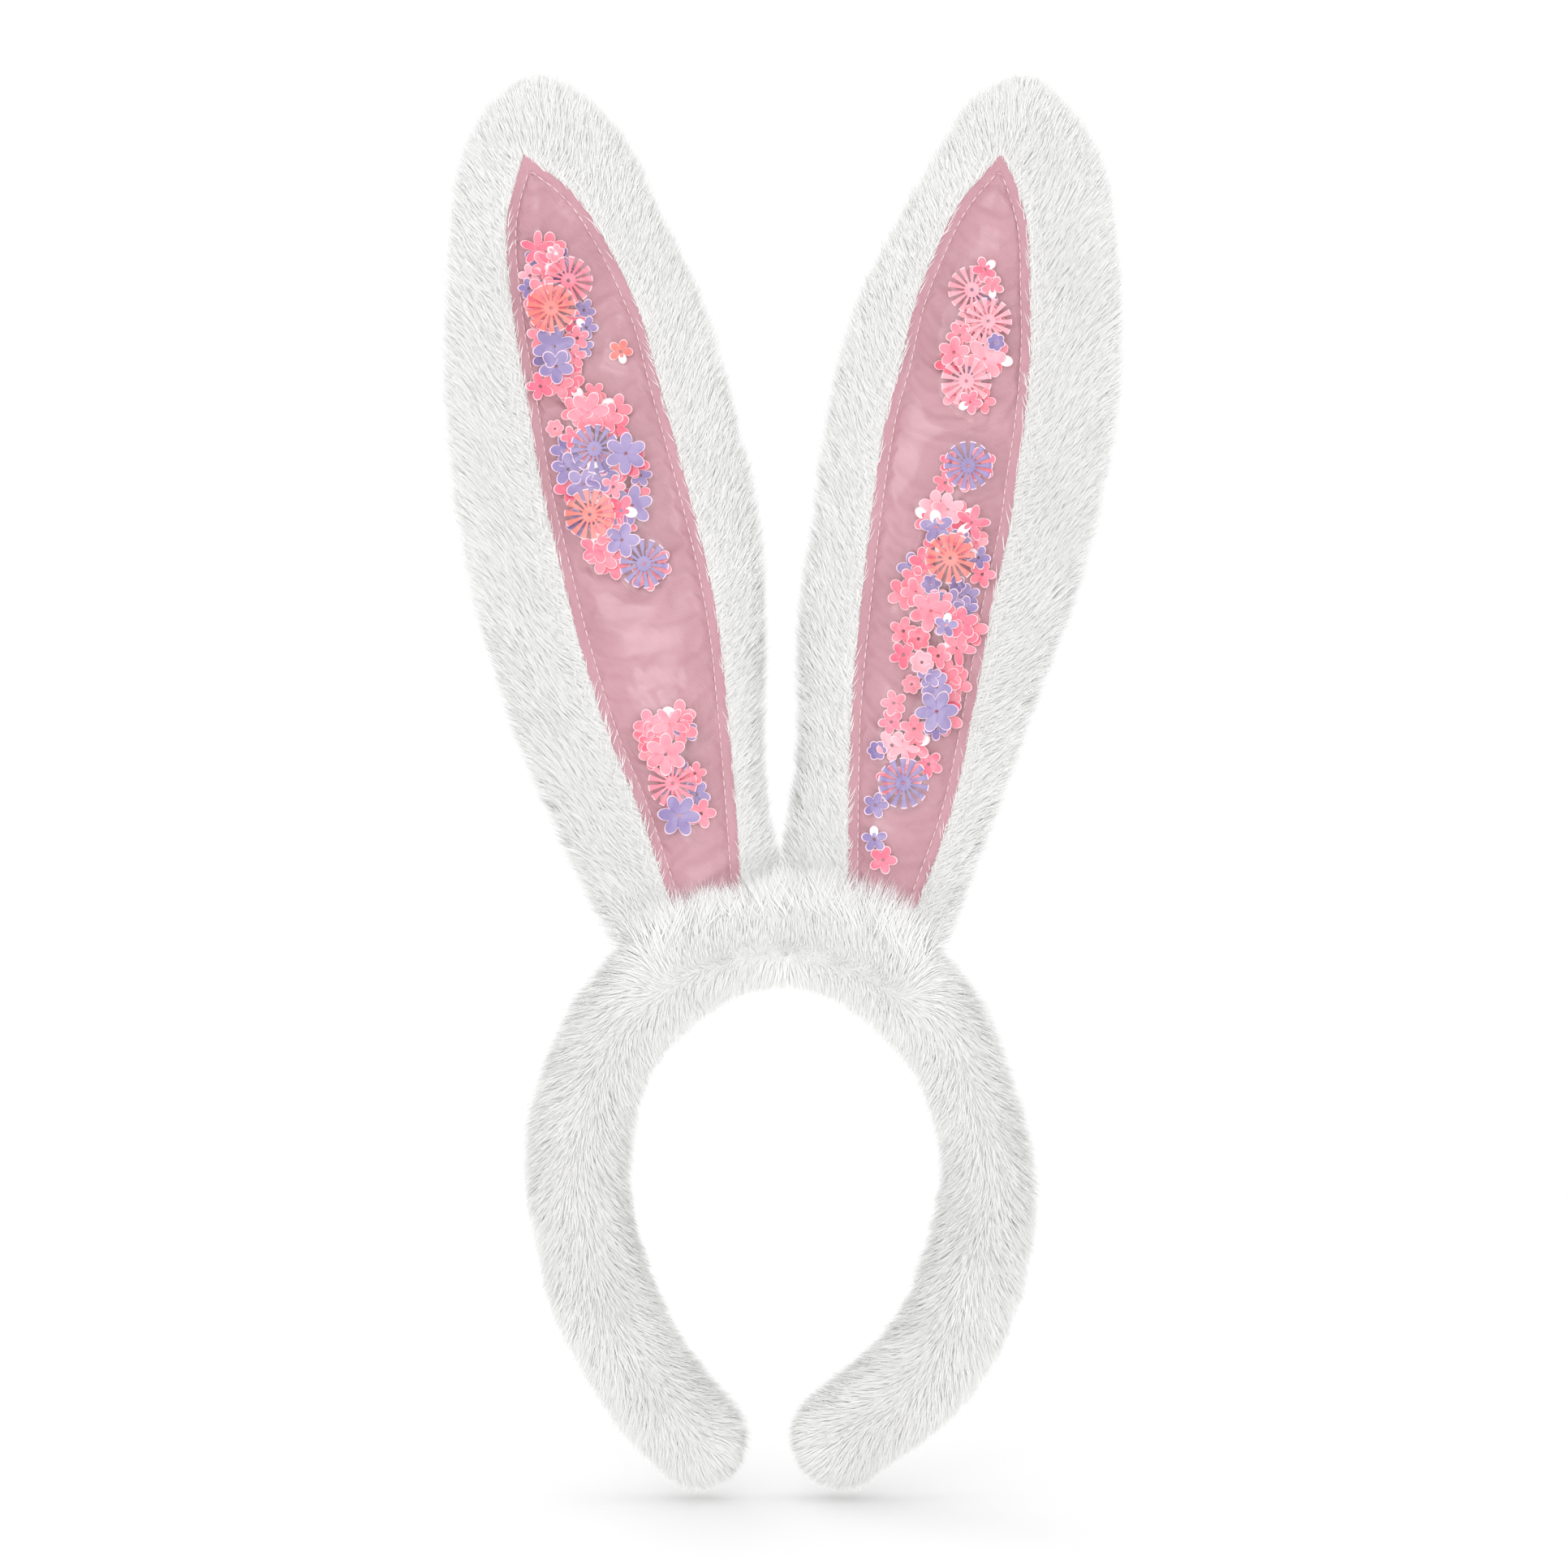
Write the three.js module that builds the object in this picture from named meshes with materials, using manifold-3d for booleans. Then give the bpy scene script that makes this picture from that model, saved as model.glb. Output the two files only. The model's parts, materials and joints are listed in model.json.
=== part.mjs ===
// Rabbit-ear headband: a flexible hoop in a stuffed plush sleeve, with two wired plush ears.
// Each ear has a satin inner panel with loose sequins held under a sewn clear window.
// Millimetres, +Z up. The hoop lies in the XZ plane, the satin side faces -Y, and the origin
// is the middle of the hoop's inner edge, where it rests on the crown of the head.
import * as THREE from 'three';
import { mergeVertices } from 'three/addons/utils/BufferGeometryUtils.js';
import Module from 'manifold-3d';

// ---- Hoop -------------------------------------------------------------------------------
// Centre line seen from the front as x, z: left tip, left arm, crown, right arm, right tip.
const HOOP_LINE = [
  [-28, -139], [-38, -126], [-50, -107], [-59, -84], [-63, -60], [-61.5, -38], [-53, -16],
  [-40, 0], [-22, 11.5], [0, 15], [22, 11], [39, -1], [51.5, -17], [59, -36], [63, -58],
  [60.5, -80], [53, -102], [40, -121], [19, -139],
];
const SLEEVE_RADIUS = 13.8;        // plush sleeve with its pile pressed flat
const SLEEVE_WALL = 2.8;
const WADDING_RADIUS = 10.1;
const WADDING_HOLE_RADIUS = 6.9;
const CORE_WIDTH = 9;              // moulded strip, measured front to back
const CORE_THICKNESS = 2;
const CORE_END_SETBACK = 6;        // from the core's end to the centre of the sleeve's round tip
const SHOULDER_X = 46.5;           // where an arm starts to flex
const SLEEVE_SHOULDER_GAP = 4.4;   // room for an arm to spread without pinching its sleeve
const WADDING_SHOULDER_GAP = 3.2;
const CORE_SHOULDER_GAP = 0.8;
const TUBE_SIDES = 10;
const TUBE_STEP = 14;              // along the hoop between sections
const CORE_STEP = 6;

// ---- Ears -------------------------------------------------------------------------------
// Ear outlines are [height along the ear, distance from its axis] without the pile.
// Distances in satin and sequin places are positive away from the other ear.
const EAR_LEAN = THREE.MathUtils.degToRad(9.7);
const EAR_BASE_Z = 30;
const EAR_TIP_HEIGHT = 250;
const BASE_SLOPE = THREE.MathUtils.degToRad(21.5);  // the base follows the hoop's shoulder
const BASE_HEIGHT = -2.5;                            // of the sloped base, on the ear's axis
const EARS = {
  left: {
    side: -1, baseX: -32.5, crease: 153.5,
    outer: [[-12, 22.5], [20, 30.5], [60, 39.8], [100, 44.8], [140, 44.8], [175, 40.5],
      [205, 33.3], [230, 24], [245, 12]],
    inner: [[8, 28], [40, 31.5], [75, 37.8], [105, 41.3], [140, 40], [175, 36], [205, 27.5],
      [228, 21], [242, 12]],
    satinTip: [230, 8.4],
    satinOuter: [[0, 3.1], [28, 7.9], [50, 12.9], [80, 16.9], [105, 18.8], [129, 20.3],
      [157, 20.1], [181, 20], [210, 17.1]],
    satinInner: [[0, -19.8], [32, -22.9], [53, -24.6], [73, -26], [91, -26], [113, -24.7],
      [153, -20.8], [174, -18.8], [200, -11.6], [215, -4.9]],
    wheels: [[181.4, 7.8], [136.8, 2], [117.3, 6.8], [99.8, -6.9], [32.2, -4.2]],
    clusters: {
      sequin_cluster_top: [[200.1, 8.9, 5.5], [194, 7.4, 4.5], [188, 9, 4.5],
        [184, 3, 4.5], [177, 6, 5], [169.7, 9, 6.8], [163.9, 9.5, 5]],
      sequin_cluster_middle: [[140, -1, 5], [133.7, -7.1, 6.5], [136, 6, 5],
        [137.5, 10.7, 4.5], [132.6, 11.6, 4.5], [126.8, 7.5, 5], [128, -1, 5.5],
        [122, -2, 5.5], [117.9, -6.2, 6.5], [116, 1, 4.5], [108, -1.5, 5], [106, 2.5, 4.5],
        [103.7, 5.6, 4.2]],
      sequin_cluster_low: [[50.6, -0.5, 5], [50.2, -6.3, 5.5], [46, -4, 5],
        [41.2, -3.7, 6.5], [36, -6, 5], [29, -7.5, 5.5], [22.1, -4.5, 6.5], [26.5, -11, 4.5],
        [20.8, -11, 4.4]],
      sequin_flower_stray: [[165.1, -10.7, 3.4]],
    },
  },
  right: {
    side: 1, baseX: 32, crease: 141.5,
    outer: [[-12, 20.5], [20, 25.5], [60, 32.5], [100, 40], [140, 43.2], [175, 41.2],
      [205, 34.5], [230, 25.5], [245, 11.5]],
    inner: [[8, 31], [40, 32.5], [75, 38.4], [105, 39.4], [140, 40.3], [175, 37.3],
      [205, 27.5], [228, 17.5], [242, 11]],
    satinTip: [228, -3.7],
    satinOuter: [[0, 10.6], [28, 15.5], [59, 16.7], [90, 17], [117, 18.2], [129, 17.7],
      [146, 17.4], [168, 15.7], [188, 12.2], [207, 8.1], [220, 2]],
    satinInner: [[0, -12.2], [30, -17.2], [52, -20.3], [84, -22.8], [125, -24.8],
      [145, -24.7], [158, -23.3], [178, -22.1], [194, -18.9], [210, -14.1]],
    wheels: [[175.6, 0.6], [156.5, -2.8], [131.2, 2.3], [102.8, 1.7], [32.8, -0.8]],
    clusters: {
      sequin_cluster_top: [[191.5, -2.8, 4], [186, -3, 4.5], [180.5, -4, 4.5],
        [175, -4.5, 4.5], [169.5, -5.5, 4.5], [165.5, -7.6, 4.5], [165, -2.5, 4.5],
        [164.7, 1.8, 6.5], [170.1, 4.1, 3.6], [158.5, -3, 5.5]],
      sequin_cluster_middle: [[117.2, -1.5, 4.8], [111, -3.3, 5], [114.5, 5, 5.5],
        [109, 3, 5], [105, 6, 4.5], [101, 2.5, 5], [96, 0, 5], [91.5, 2.5, 4.8],
        [86, -1.5, 6.5], [83.9, 6.3, 5], [76.3, 7, 5.6], [76.7, -3.2, 4.8], [72, 2, 5.5],
        [67, 3, 4.8], [63.4, 4.1, 4.5], [56, 5.4, 6.8], [51.5, -0.5, 4.8], [52, -6.4, 4.4]],
      sequin_cluster_low: [[39.8, 5.7, 4.2], [38, 0.5, 5], [42.5, -3.5, 5],
        [41.3, -9.3, 4.2]],
      sequin_pair_base: [[22, -5.8, 3.8], [18.2, -2.6, 4.2]],
    },
  },
};

// Layers of an ear from back to front, as y of the back face and y of the front face.
const BACK_PLUSH = [11, 4.9];
const BATTING = [4.6, -3.4];
const FRONT_PLUSH = [-3.8, -10.7];
const SATIN = [-6.1, -6.6];
const FILM_EDGE = [-6.9, -7.2];     // the window's flat sewn edge
const FILM_DOME = [-6.9, -9.7];     // the raised middle, with room for sequins behind it
const FILM_WALL = 0.4;
const TOPSTITCH = [-7.5, -7.8];
const SEQUIN_CLUSTER = [-7.1, -7.5];
const SEQUIN_WHEEL = [-7.9, -8.3];
const WIRE_Y = 0.6;
const WIRE_RADIUS = 0.9;

const BATTING_INSET = 9.5;
const WIRE_INSET = 5.4;
const WIRE_BASE_RISE = 3.4;         // of the legs above the ear's sloped base
const SATIN_RECESS_DEPTH = 2.0;     // how far the front plush is recessed behind its face
const SATIN_RECESS_MARGIN = 0.4;
const FILM_INSET = 1.8;             // from the satin's edge
const STITCH_INSET = 3;
const STITCH_WIDTH = 0.6;
const DOME_INSET = 4;
const SEQUIN_CLEARANCE = 0.4;
const WHEEL_RADIUS = 7.6;
const WHEEL_RAYS = 14;
const SEQUIN_HOLE_RADIUS = 0.8;

// Clearances left where an ear turns on its wire.
const FOLD_PIVOT_HEIGHT = 3;        // fore and aft fold at the ear's foot
const BEND_FRONT_TAN = Math.tan(THREE.MathUtils.degToRad(25));   // half of 50 degrees
const BEND_BACK_TAN = Math.tan(THREE.MathUtils.degToRad(15));    // half of 30 degrees
const JOINT_CLEARANCE = 0.6;
const BASE_STEP = { plush: 5.5, batting: 9, satin: 6, film: 6.8, stitch: 7.5, dome: 8.7 };

const FOOT_STEM_RADIUS = 1.9;
const FOOT_COLLAR = { along: 7, through: 11.4, height: 4.6 };
const FOOT_SIDE_CLEARANCE = 0.5;    // between the foot's collar and the edges of the core
const FOOT_FACE_CLEARANCE = 0.85;   // and its curved faces
const FOOT_X = 29.5;                // where the feet stand on the hoop, from its middle
const SLIT_RADIUS = 5;              // slit in sleeve and wadding where the foot passes
const SLIT_LENGTH = 30;

// ---- Materials --------------------------------------------------------------------------
const material = (color, roughness, metalness = 0) =>
  new THREE.MeshStandardMaterial({ color, roughness, metalness });
const PLUSH = material(0xe6e7e5, 0.95);
const WADDING = material(0xf4f3ee, 0.98);
const CORE = material(0xf0efea, 0.45);
const WIRE = material(0xb9bcbf, 0.35, 0.9);
const SATIN_PINK = material(0xdba9b5, 0.4);
const FILM = material(0xf3dde3, 0.12);
const THREAD = material(0xf1dce1, 0.7);
const SEQUIN_PINK = material(0xf58fa6, 0.2);
const SEQUIN_CORAL = material(0xf48c7e, 0.2);
const SEQUIN_VIOLET = material(0xa390cc, 0.2);

// ---- Solids -----------------------------------------------------------------------------
const wasm = await Module();
wasm.setup();

function toSolid(geometry) {
  const bare = geometry.clone();
  bare.deleteAttribute('normal');
  bare.deleteAttribute('uv');
  const merged = mergeVertices(bare, 1e-4);
  return new wasm.Manifold(new wasm.Mesh({
    numProp: 3,
    vertProperties: new Float32Array(merged.attributes.position.array),
    triVerts: new Uint32Array(merged.index.array),
  }));
}

function toGeometry(solid) {
  const mesh = solid.getMesh();
  const geometry = new THREE.BufferGeometry();
  geometry.setAttribute('position', new THREE.BufferAttribute(mesh.vertProperties, 3));
  geometry.setIndex(new THREE.BufferAttribute(mesh.triVerts, 1));
  geometry.computeVertexNormals();
  return geometry;
}

const headband = new THREE.Group();

function addMesh(group, name, shape, look) {
  const geometry = shape.isBufferGeometry ? shape : toGeometry(shape);
  const mesh = new THREE.Mesh(geometry, look);
  mesh.name = name;
  group.add(mesh);
}

// ---- Hoop pieces ------------------------------------------------------------------------
const hoopCurve = new THREE.CatmullRomCurve3(
  HOOP_LINE.map(([x, z]) => new THREE.Vector3(x, 0, z)), false, 'centripetal');
hoopCurve.arcLengthDivisions = 400;
const hoopLength = hoopCurve.getLength();

// Distance along the hoop of the point at a given x on its upper half.
function lengthAtX(x) {
  let low = hoopLength * 0.25;
  let high = hoopLength * 0.75;
  for (let i = 0; i < 40; i += 1) {
    const middle = (low + high) / 2;
    if (hoopCurve.getPointAt(middle / hoopLength).x < x) low = middle;
    else high = middle;
  }
  return low;
}

function hoopStretch(from, to, stepLength) {
  const steps = Math.max(2, Math.round((to - from) / stepLength));
  const points = [];
  for (let i = 0; i <= steps; i += 1) {
    points.push(hoopCurve.getPointAt((from + (to - from) * (i / steps)) / hoopLength));
  }
  return { path: new THREE.CatmullRomCurve3(points), steps };
}

function circleShape(radius, sides = TUBE_SIDES) {
  const points = [];
  for (let i = 0; i < sides; i += 1) {
    const angle = (2 * Math.PI * (i + 0.5)) / sides;
    points.push(new THREE.Vector2(radius * Math.cos(angle), radius * Math.sin(angle)));
  }
  return new THREE.Shape(points);
}

function alongHoop(shape, from, to, stepLength = TUBE_STEP) {
  const { path, steps } = hoopStretch(from, to, stepLength);
  return toSolid(new THREE.ExtrudeGeometry(shape,
    { steps, bevelEnabled: false, extrudePath: path, curveSegments: 1 }));
}

function ballAt(radius, distance) {
  const centre = hoopCurve.getPointAt(distance / hoopLength);
  const ball = new THREE.SphereGeometry(radius, TUBE_SIDES, TUBE_SIDES / 2);
  ball.translate(centre.x, centre.y, centre.z);
  return toSolid(ball);
}

const footPoint = (ear) => hoopCurve.getPointAt(lengthAtX(ear.side * FOOT_X) / hoopLength);

// The slit lets the twisted foot of an ear's wire through the top of the sleeve.
function earSlit(ear) {
  const slit = new THREE.CylinderGeometry(SLIT_RADIUS, SLIT_RADIUS, SLIT_LENGTH, TUBE_SIDES);
  slit.rotateX(Math.PI / 2);
  slit.translate(0, 0, SLIT_LENGTH / 2);
  slit.rotateY(ear.side * EAR_LEAN);
  const foot = footPoint(ear);
  slit.translate(foot.x, 0, foot.z);
  return toSolid(slit);
}

function buildHoop() {
  const shoulders = [lengthAtX(-SHOULDER_X), lengthAtX(SHOULDER_X)];
  const overrun = 6;
  const strip = new THREE.Shape([
    new THREE.Vector2(-CORE_WIDTH / 2, -CORE_THICKNESS / 2),
    new THREE.Vector2(CORE_WIDTH / 2, -CORE_THICKNESS / 2),
    new THREE.Vector2(CORE_WIDTH / 2, CORE_THICKNESS / 2),
    new THREE.Vector2(-CORE_WIDTH / 2, CORE_THICKNESS / 2),
  ]);
  const span = (gap) => [shoulders[0] + gap / 2, shoulders[1] - gap / 2];
  const slits = earSlit(EARS.left).add(earSlit(EARS.right));

  const [coreFrom, coreTo] = span(CORE_SHOULDER_GAP);
  addMesh(headband, 'band_core_crown', alongHoop(strip, coreFrom, coreTo, CORE_STEP), CORE);
  const [wadFrom, wadTo] = span(WADDING_SHOULDER_GAP);
  addMesh(headband, 'wadding_crown', alongHoop(circleShape(WADDING_RADIUS), wadFrom, wadTo)
    .subtract(alongHoop(circleShape(WADDING_HOLE_RADIUS), wadFrom - overrun, wadTo + overrun))
    .subtract(slits), WADDING);
  const [furFrom, furTo] = span(SLEEVE_SHOULDER_GAP);
  addMesh(headband, 'plush_sleeve_crown', alongHoop(circleShape(SLEEVE_RADIUS), furFrom, furTo)
    .subtract(alongHoop(circleShape(SLEEVE_RADIUS - SLEEVE_WALL),
      furFrom - overrun, furTo + overrun)).subtract(slits), PLUSH);

  // An arm runs from its shoulder to its round tip; the tip is at one end of the curve.
  const arms = [
    ['left', 0, (gap) => shoulders[0] - gap / 2],
    ['right', hoopLength, (gap) => shoulders[1] + gap / 2],
  ];
  for (const [name, tip, shoulderEnd] of arms) {
    const inward = tip === 0 ? 1 : -1;
    const armTube = (radius, gap, tipSetback, extra = 0) => {
      const ends = [tip + inward * tipSetback, shoulderEnd(gap) + inward * extra];
      return alongHoop(circleShape(radius), Math.min(...ends), Math.max(...ends));
    };
    const coreEnds = [tip + inward * CORE_END_SETBACK, shoulderEnd(CORE_SHOULDER_GAP)];
    addMesh(headband, `band_core_${name}`,
      alongHoop(strip, Math.min(...coreEnds), Math.max(...coreEnds), CORE_STEP), CORE);
    addMesh(headband, `wadding_${name}`, armTube(WADDING_RADIUS, WADDING_SHOULDER_GAP, 0)
      .add(ballAt(WADDING_RADIUS, tip))
      .subtract(armTube(WADDING_HOLE_RADIUS, WADDING_SHOULDER_GAP, CORE_END_SETBACK - 2,
        overrun)), WADDING);
    addMesh(headband, `plush_sleeve_${name}`, armTube(SLEEVE_RADIUS, SLEEVE_SHOULDER_GAP, 0)
      .add(ballAt(SLEEVE_RADIUS, tip))
      .subtract(armTube(SLEEVE_RADIUS - SLEEVE_WALL, SLEEVE_SHOULDER_GAP, 0, overrun)
        .add(ballAt(SLEEVE_RADIUS - SLEEVE_WALL, tip))), PLUSH);
  }
}

// ---- Ear pieces -------------------------------------------------------------------------
// In an ear's own frame x is across the ear, z is along it, and y is through it.
const LARGE = 400;

// A flat piece with the given outline between two y planes.
function slab(outline, [back, front]) {
  const shape = outline instanceof THREE.Shape ? outline : new THREE.Shape(outline);
  const geometry = new THREE.ExtrudeGeometry(shape,
    { depth: back - front, bevelEnabled: false, curveSegments: 1 });
  geometry.rotateX(Math.PI / 2);
  geometry.translate(0, back, 0);
  return toSolid(geometry);
}

function boxSolid(minZ, maxZ, slope = 0, pivotZ = 0) {
  const box = new THREE.BoxGeometry(LARGE, LARGE, maxZ - minZ);
  box.translate(0, 0, (minZ + maxZ) / 2 - pivotZ);
  box.rotateY(slope);
  box.translate(0, 0, pivotZ);
  return toSolid(box);
}

// Height of the sloped base at a distance across the ear, positive outward.
const baseHeightAt = (across) => BASE_HEIGHT - across * Math.tan(BASE_SLOPE);

// Keeps what lies above the sloped base of the ear, raised by a step.
function aboveBase(ear, step) {
  const height = BASE_HEIGHT + step;
  return boxSolid(height, height + LARGE, ear.side * BASE_SLOPE, height);
}

// Spline from the ear's outer base over its tip to its inner base.
function earOutline(ear, inset = 0) {
  const points = [
    ...ear.outer.map(([height, width]) => new THREE.Vector2(ear.side * width, height)),
    new THREE.Vector2(0, EAR_TIP_HEIGHT),
    ...ear.inner.map(([height, width]) => new THREE.Vector2(-ear.side * width, height))
      .reverse(),
  ];
  const outline = new THREE.SplineCurve(points).getPoints(38);
  if (ear.side > 0) outline.reverse();
  // The outline turns clockwise here, so inward is to the right of its direction.
  const count = outline.length;
  return outline.map((point, i) => {
    const before = outline[Math.max(i - 1, 0)];
    const after = outline[Math.min(i + 1, count - 1)];
    const direction = after.clone().sub(before).normalize();
    return new THREE.Vector2(point.x + direction.y * inset, point.y - direction.x * inset);
  });
}

// Satin outline: two side edges that meet in a point, drawn in by an inset.
function satinOutline(ear, inset = 0) {
  const edge = (rows) => new THREE.SplineCurve(
    [...rows, ear.satinTip].map(([height, across]) => new THREE.Vector2(across, height)))
    .getPoints(18);
  const draw = (points, sign) => points.map((point, i) => {
    const before = points[Math.max(i - 1, 0)];
    const after = points[Math.min(i + 1, points.length - 1)];
    const direction = after.clone().sub(before).normalize();
    return new THREE.Vector2(point.x - sign * direction.y * inset,
      point.y + sign * direction.x * inset);
  });
  const outer = draw(edge(ear.satinOuter), 1);
  const inner = draw(edge(ear.satinInner), -1);
  // The drawn-in edges meet where the width between them comes down to nothing.
  const acrossAt = (points, height) => {
    const found = points.findIndex((p) => p.y >= height);
    const next = found < 0 ? points.length - 1 : Math.max(1, found);
    const [a, b] = [points[next - 1], points[next]];
    return a.x + ((b.x - a.x) * (height - a.y)) / (b.y - a.y);
  };
  let [low, high] = [ear.satinTip[0] / 2, ear.satinTip[0] + 5];
  for (let i = 0; i < 40; i += 1) {
    const middle = (low + high) / 2;
    if (acrossAt(outer, middle) > acrossAt(inner, middle)) low = middle;
    else high = middle;
  }
  const tip = new THREE.Vector2(acrossAt(outer, low), low);
  const below = (points) => points.filter((p) => p.y < tip.y - 0.5);
  const ring = [...below(outer), tip, ...below(inner).reverse()]
    .map((p) => new THREE.Vector2(ear.side * p.x, p.y));
  if (ear.side < 0) ring.reverse();
  return ring;
}

// One row of stitching just inside the satin's edge, along both sides and across its foot.
function stitchRow(ear, step) {
  const within = slab(satinOutline(ear, STITCH_INSET + STITCH_WIDTH),
    [TOPSTITCH[0] + 1, TOPSTITCH[1] - 1]);
  return slab(satinOutline(ear, STITCH_INSET), TOPSTITCH)
    .subtract(within.intersect(aboveBase(ear, step + STITCH_WIDTH)));
}

// The halves of an ear part stop short of the crease by what its depth needs to turn.
function creaseGap([back, front]) {
  return Math.max(-front * BEND_FRONT_TAN, back * BEND_BACK_TAN) + JOINT_CLEARANCE;
}

function addHalves(group, name, ear, key, solid, layer, step, look) {
  const gap = creaseGap(layer);
  const low = boxSolid(-LARGE, ear.crease - gap);
  const high = boxSolid(ear.crease + gap, ear.crease + LARGE);
  addMesh(group, `${name}_lower_${key}`, solid.intersect(low).intersect(aboveBase(ear, step)),
    look);
  addMesh(group, `${name}_upper_${key}`, solid.intersect(high), look);
}

function flowerShape(radius, petals) {
  const points = [];
  for (let i = 0; i < petals * 2; i += 1) {
    const reach = i % 2 === 0 ? radius : radius * 0.74;
    const angle = (Math.PI * i) / petals;
    points.push(new THREE.Vector2(reach * Math.cos(angle), reach * Math.sin(angle)));
  }
  return new THREE.Shape(points);
}

function addHole(shape) {
  shape.holes.push(new THREE.Path(circleShape(SEQUIN_HOLE_RADIUS, 6).getPoints()));
}

// A wheel sequin is a disc with straight slots that leave narrow rays.
function wheelShape() {
  const points = [];
  const rayHalfAngle = Math.PI / WHEEL_RAYS * 0.62;
  const slotInner = WHEEL_RADIUS * 0.42;
  for (let i = 0; i < WHEEL_RAYS; i += 1) {
    const middle = (2 * Math.PI * i) / WHEEL_RAYS;
    const corners = [[slotInner, -0.9], [WHEEL_RADIUS, -1], [WHEEL_RADIUS, 1], [slotInner, 0.9]];
    for (const [reach, turn] of corners) {
      const angle = middle + turn * rayHalfAngle;
      points.push(new THREE.Vector2(reach * Math.cos(angle), reach * Math.sin(angle)));
    }
  }
  const shape = new THREE.Shape(points);
  addHole(shape);
  return shape;
}

// A sequin lies in its layer of the pocket and stops at the window's side wall.
function placed(shape, layer, ear, [height, across]) {
  const room = satinOutline(ear, DOME_INSET + FILM_WALL + SEQUIN_CLEARANCE);
  return slab(shape, layer).translate([ear.side * across, 0, height])
    .intersect(slab(room, layer));
}

function addSequins(group, ear, key) {
  const looks = [SEQUIN_PINK, SEQUIN_CORAL, SEQUIN_VIOLET];
  ear.wheels.forEach((place, i) => {
    addMesh(group, `sequin_wheel_${i + 1}_${key}`,
      placed(wheelShape(), SEQUIN_WHEEL, ear, place), looks[(i + 1) % looks.length]);
  });
  for (const [name, flowers] of Object.entries(ear.clusters)) {
    const parts = flowers.map(([height, across, radius]) => {
      const shape = flowerShape(radius, radius > 5.4 ? 6 : 5);
      if (flowers.length === 1) addHole(shape);
      return placed(shape, SEQUIN_CLUSTER, ear, [height, across]);
    });
    addMesh(group, `${name}_${key}`, parts.reduce((all, part) => all.add(part)),
      SEQUIN_PINK);
  }
}

function addWire(group, ear, key) {
  const run = earOutline(ear, WIRE_INSET);
  if (ear.side > 0) run.reverse();          // from the outer base to the inner base
  const gap = creaseGap([WIRE_Y + WIRE_RADIUS, WIRE_Y - WIRE_RADIUS]);
  const tipIndex = run.findIndex((p) => p.y === Math.max(...run.map((q) => q.y)));
  // A leg leaves the foot, follows the ear's base and then turns up along the ear's edge.
  const legFoot = (outward) => [
    new THREE.Vector2(ear.side * outward * 2.4, FOLD_PIVOT_HEIGHT + 1.5),
    ...[10, 17].map((reach) => new THREE.Vector2(ear.side * outward * reach,
      baseHeightAt(outward * reach) + WIRE_BASE_RISE)),
  ];
  const lowPart = (points) => points.filter((p) => p.y < ear.crease - 8
    && p.y > baseHeightAt(ear.side * p.x) + WIRE_BASE_RISE + 4);
  const endAt = (points, height) => {
    const next = points.findIndex((p) => p.y > height);
    const [a, b] = [points[next - 1], points[next]];
    return a.clone().lerp(b, (height - a.y) / (b.y - a.y));
  };
  const outerLeg = run.slice(0, tipIndex + 1);
  const innerLeg = run.slice(tipIndex).reverse();
  const swept = (points, steps) => new THREE.ExtrudeGeometry(circleShape(WIRE_RADIUS, 6), {
    steps, bevelEnabled: false, curveSegments: 1,
    extrudePath: new THREE.CatmullRomCurve3(
      points.map((p) => new THREE.Vector3(p.x, WIRE_Y, p.y))),
  });
  for (const [name, leg, outward] of [['outer', outerLeg, 1], ['inner', innerLeg, -1]]) {
    addMesh(group, `wire_leg_${name}_${key}`, swept(
      [...legFoot(outward), ...lowPart(leg), endAt(leg, ear.crease - gap)], 20), WIRE);
  }
  const arch = [
    endAt(outerLeg, ear.crease + gap),
    ...run.filter((p) => p.y > ear.crease + 8),
    endAt(innerLeg, ear.crease + gap),
  ];
  addMesh(group, `wire_arch_${key}`, swept(arch, 26), WIRE);
}

function addFoot(ear, key) {
  const foot = footPoint(ear);
  const tangent = hoopCurve.getTangentAt(lengthAtX(foot.x) / hoopLength);
  const slope = Math.atan2(-tangent.z, tangent.x);
  const block = (along, through, height) => {
    const box = new THREE.BoxGeometry(along, through, height);
    box.rotateY(slope);
    box.translate(foot.x, 0, foot.z);
    return toSolid(box);
  };
  const collar = block(FOOT_COLLAR.along, FOOT_COLLAR.through, FOOT_COLLAR.height);
  const coreRoom = block(FOOT_COLLAR.along * 2, CORE_WIDTH + 2 * FOOT_SIDE_CLEARANCE,
    CORE_THICKNESS + 2 * FOOT_FACE_CLEARANCE);
  const pivot = earPoint(ear, [FOLD_PIVOT_HEIGHT - 1, 0]);
  const stemLength = pivot.distanceTo(foot);
  const stemStart = FOOT_COLLAR.height / 2 - 1;
  const stem = new THREE.CylinderGeometry(FOOT_STEM_RADIUS, FOOT_STEM_RADIUS,
    stemLength - stemStart, 8);
  stem.translate(0, (stemLength + stemStart) / 2, 0);
  stem.applyQuaternion(new THREE.Quaternion().setFromUnitVectors(
    new THREE.Vector3(0, 1, 0), pivot.clone().sub(foot).normalize()));
  stem.translate(foot.x, 0, foot.z);
  addMesh(headband, `wire_foot_${key}`, collar.add(toSolid(stem)).subtract(coreRoom),
    WIRE);
}

// World place of a point given by height along an ear and distance across it.
function earPoint(ear, [height, across]) {
  const point = new THREE.Vector3(ear.side * across, 0, height);
  point.applyAxisAngle(new THREE.Vector3(0, 1, 0), ear.side * EAR_LEAN);
  return point.add(new THREE.Vector3(ear.baseX, 0, EAR_BASE_Z));
}

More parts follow.
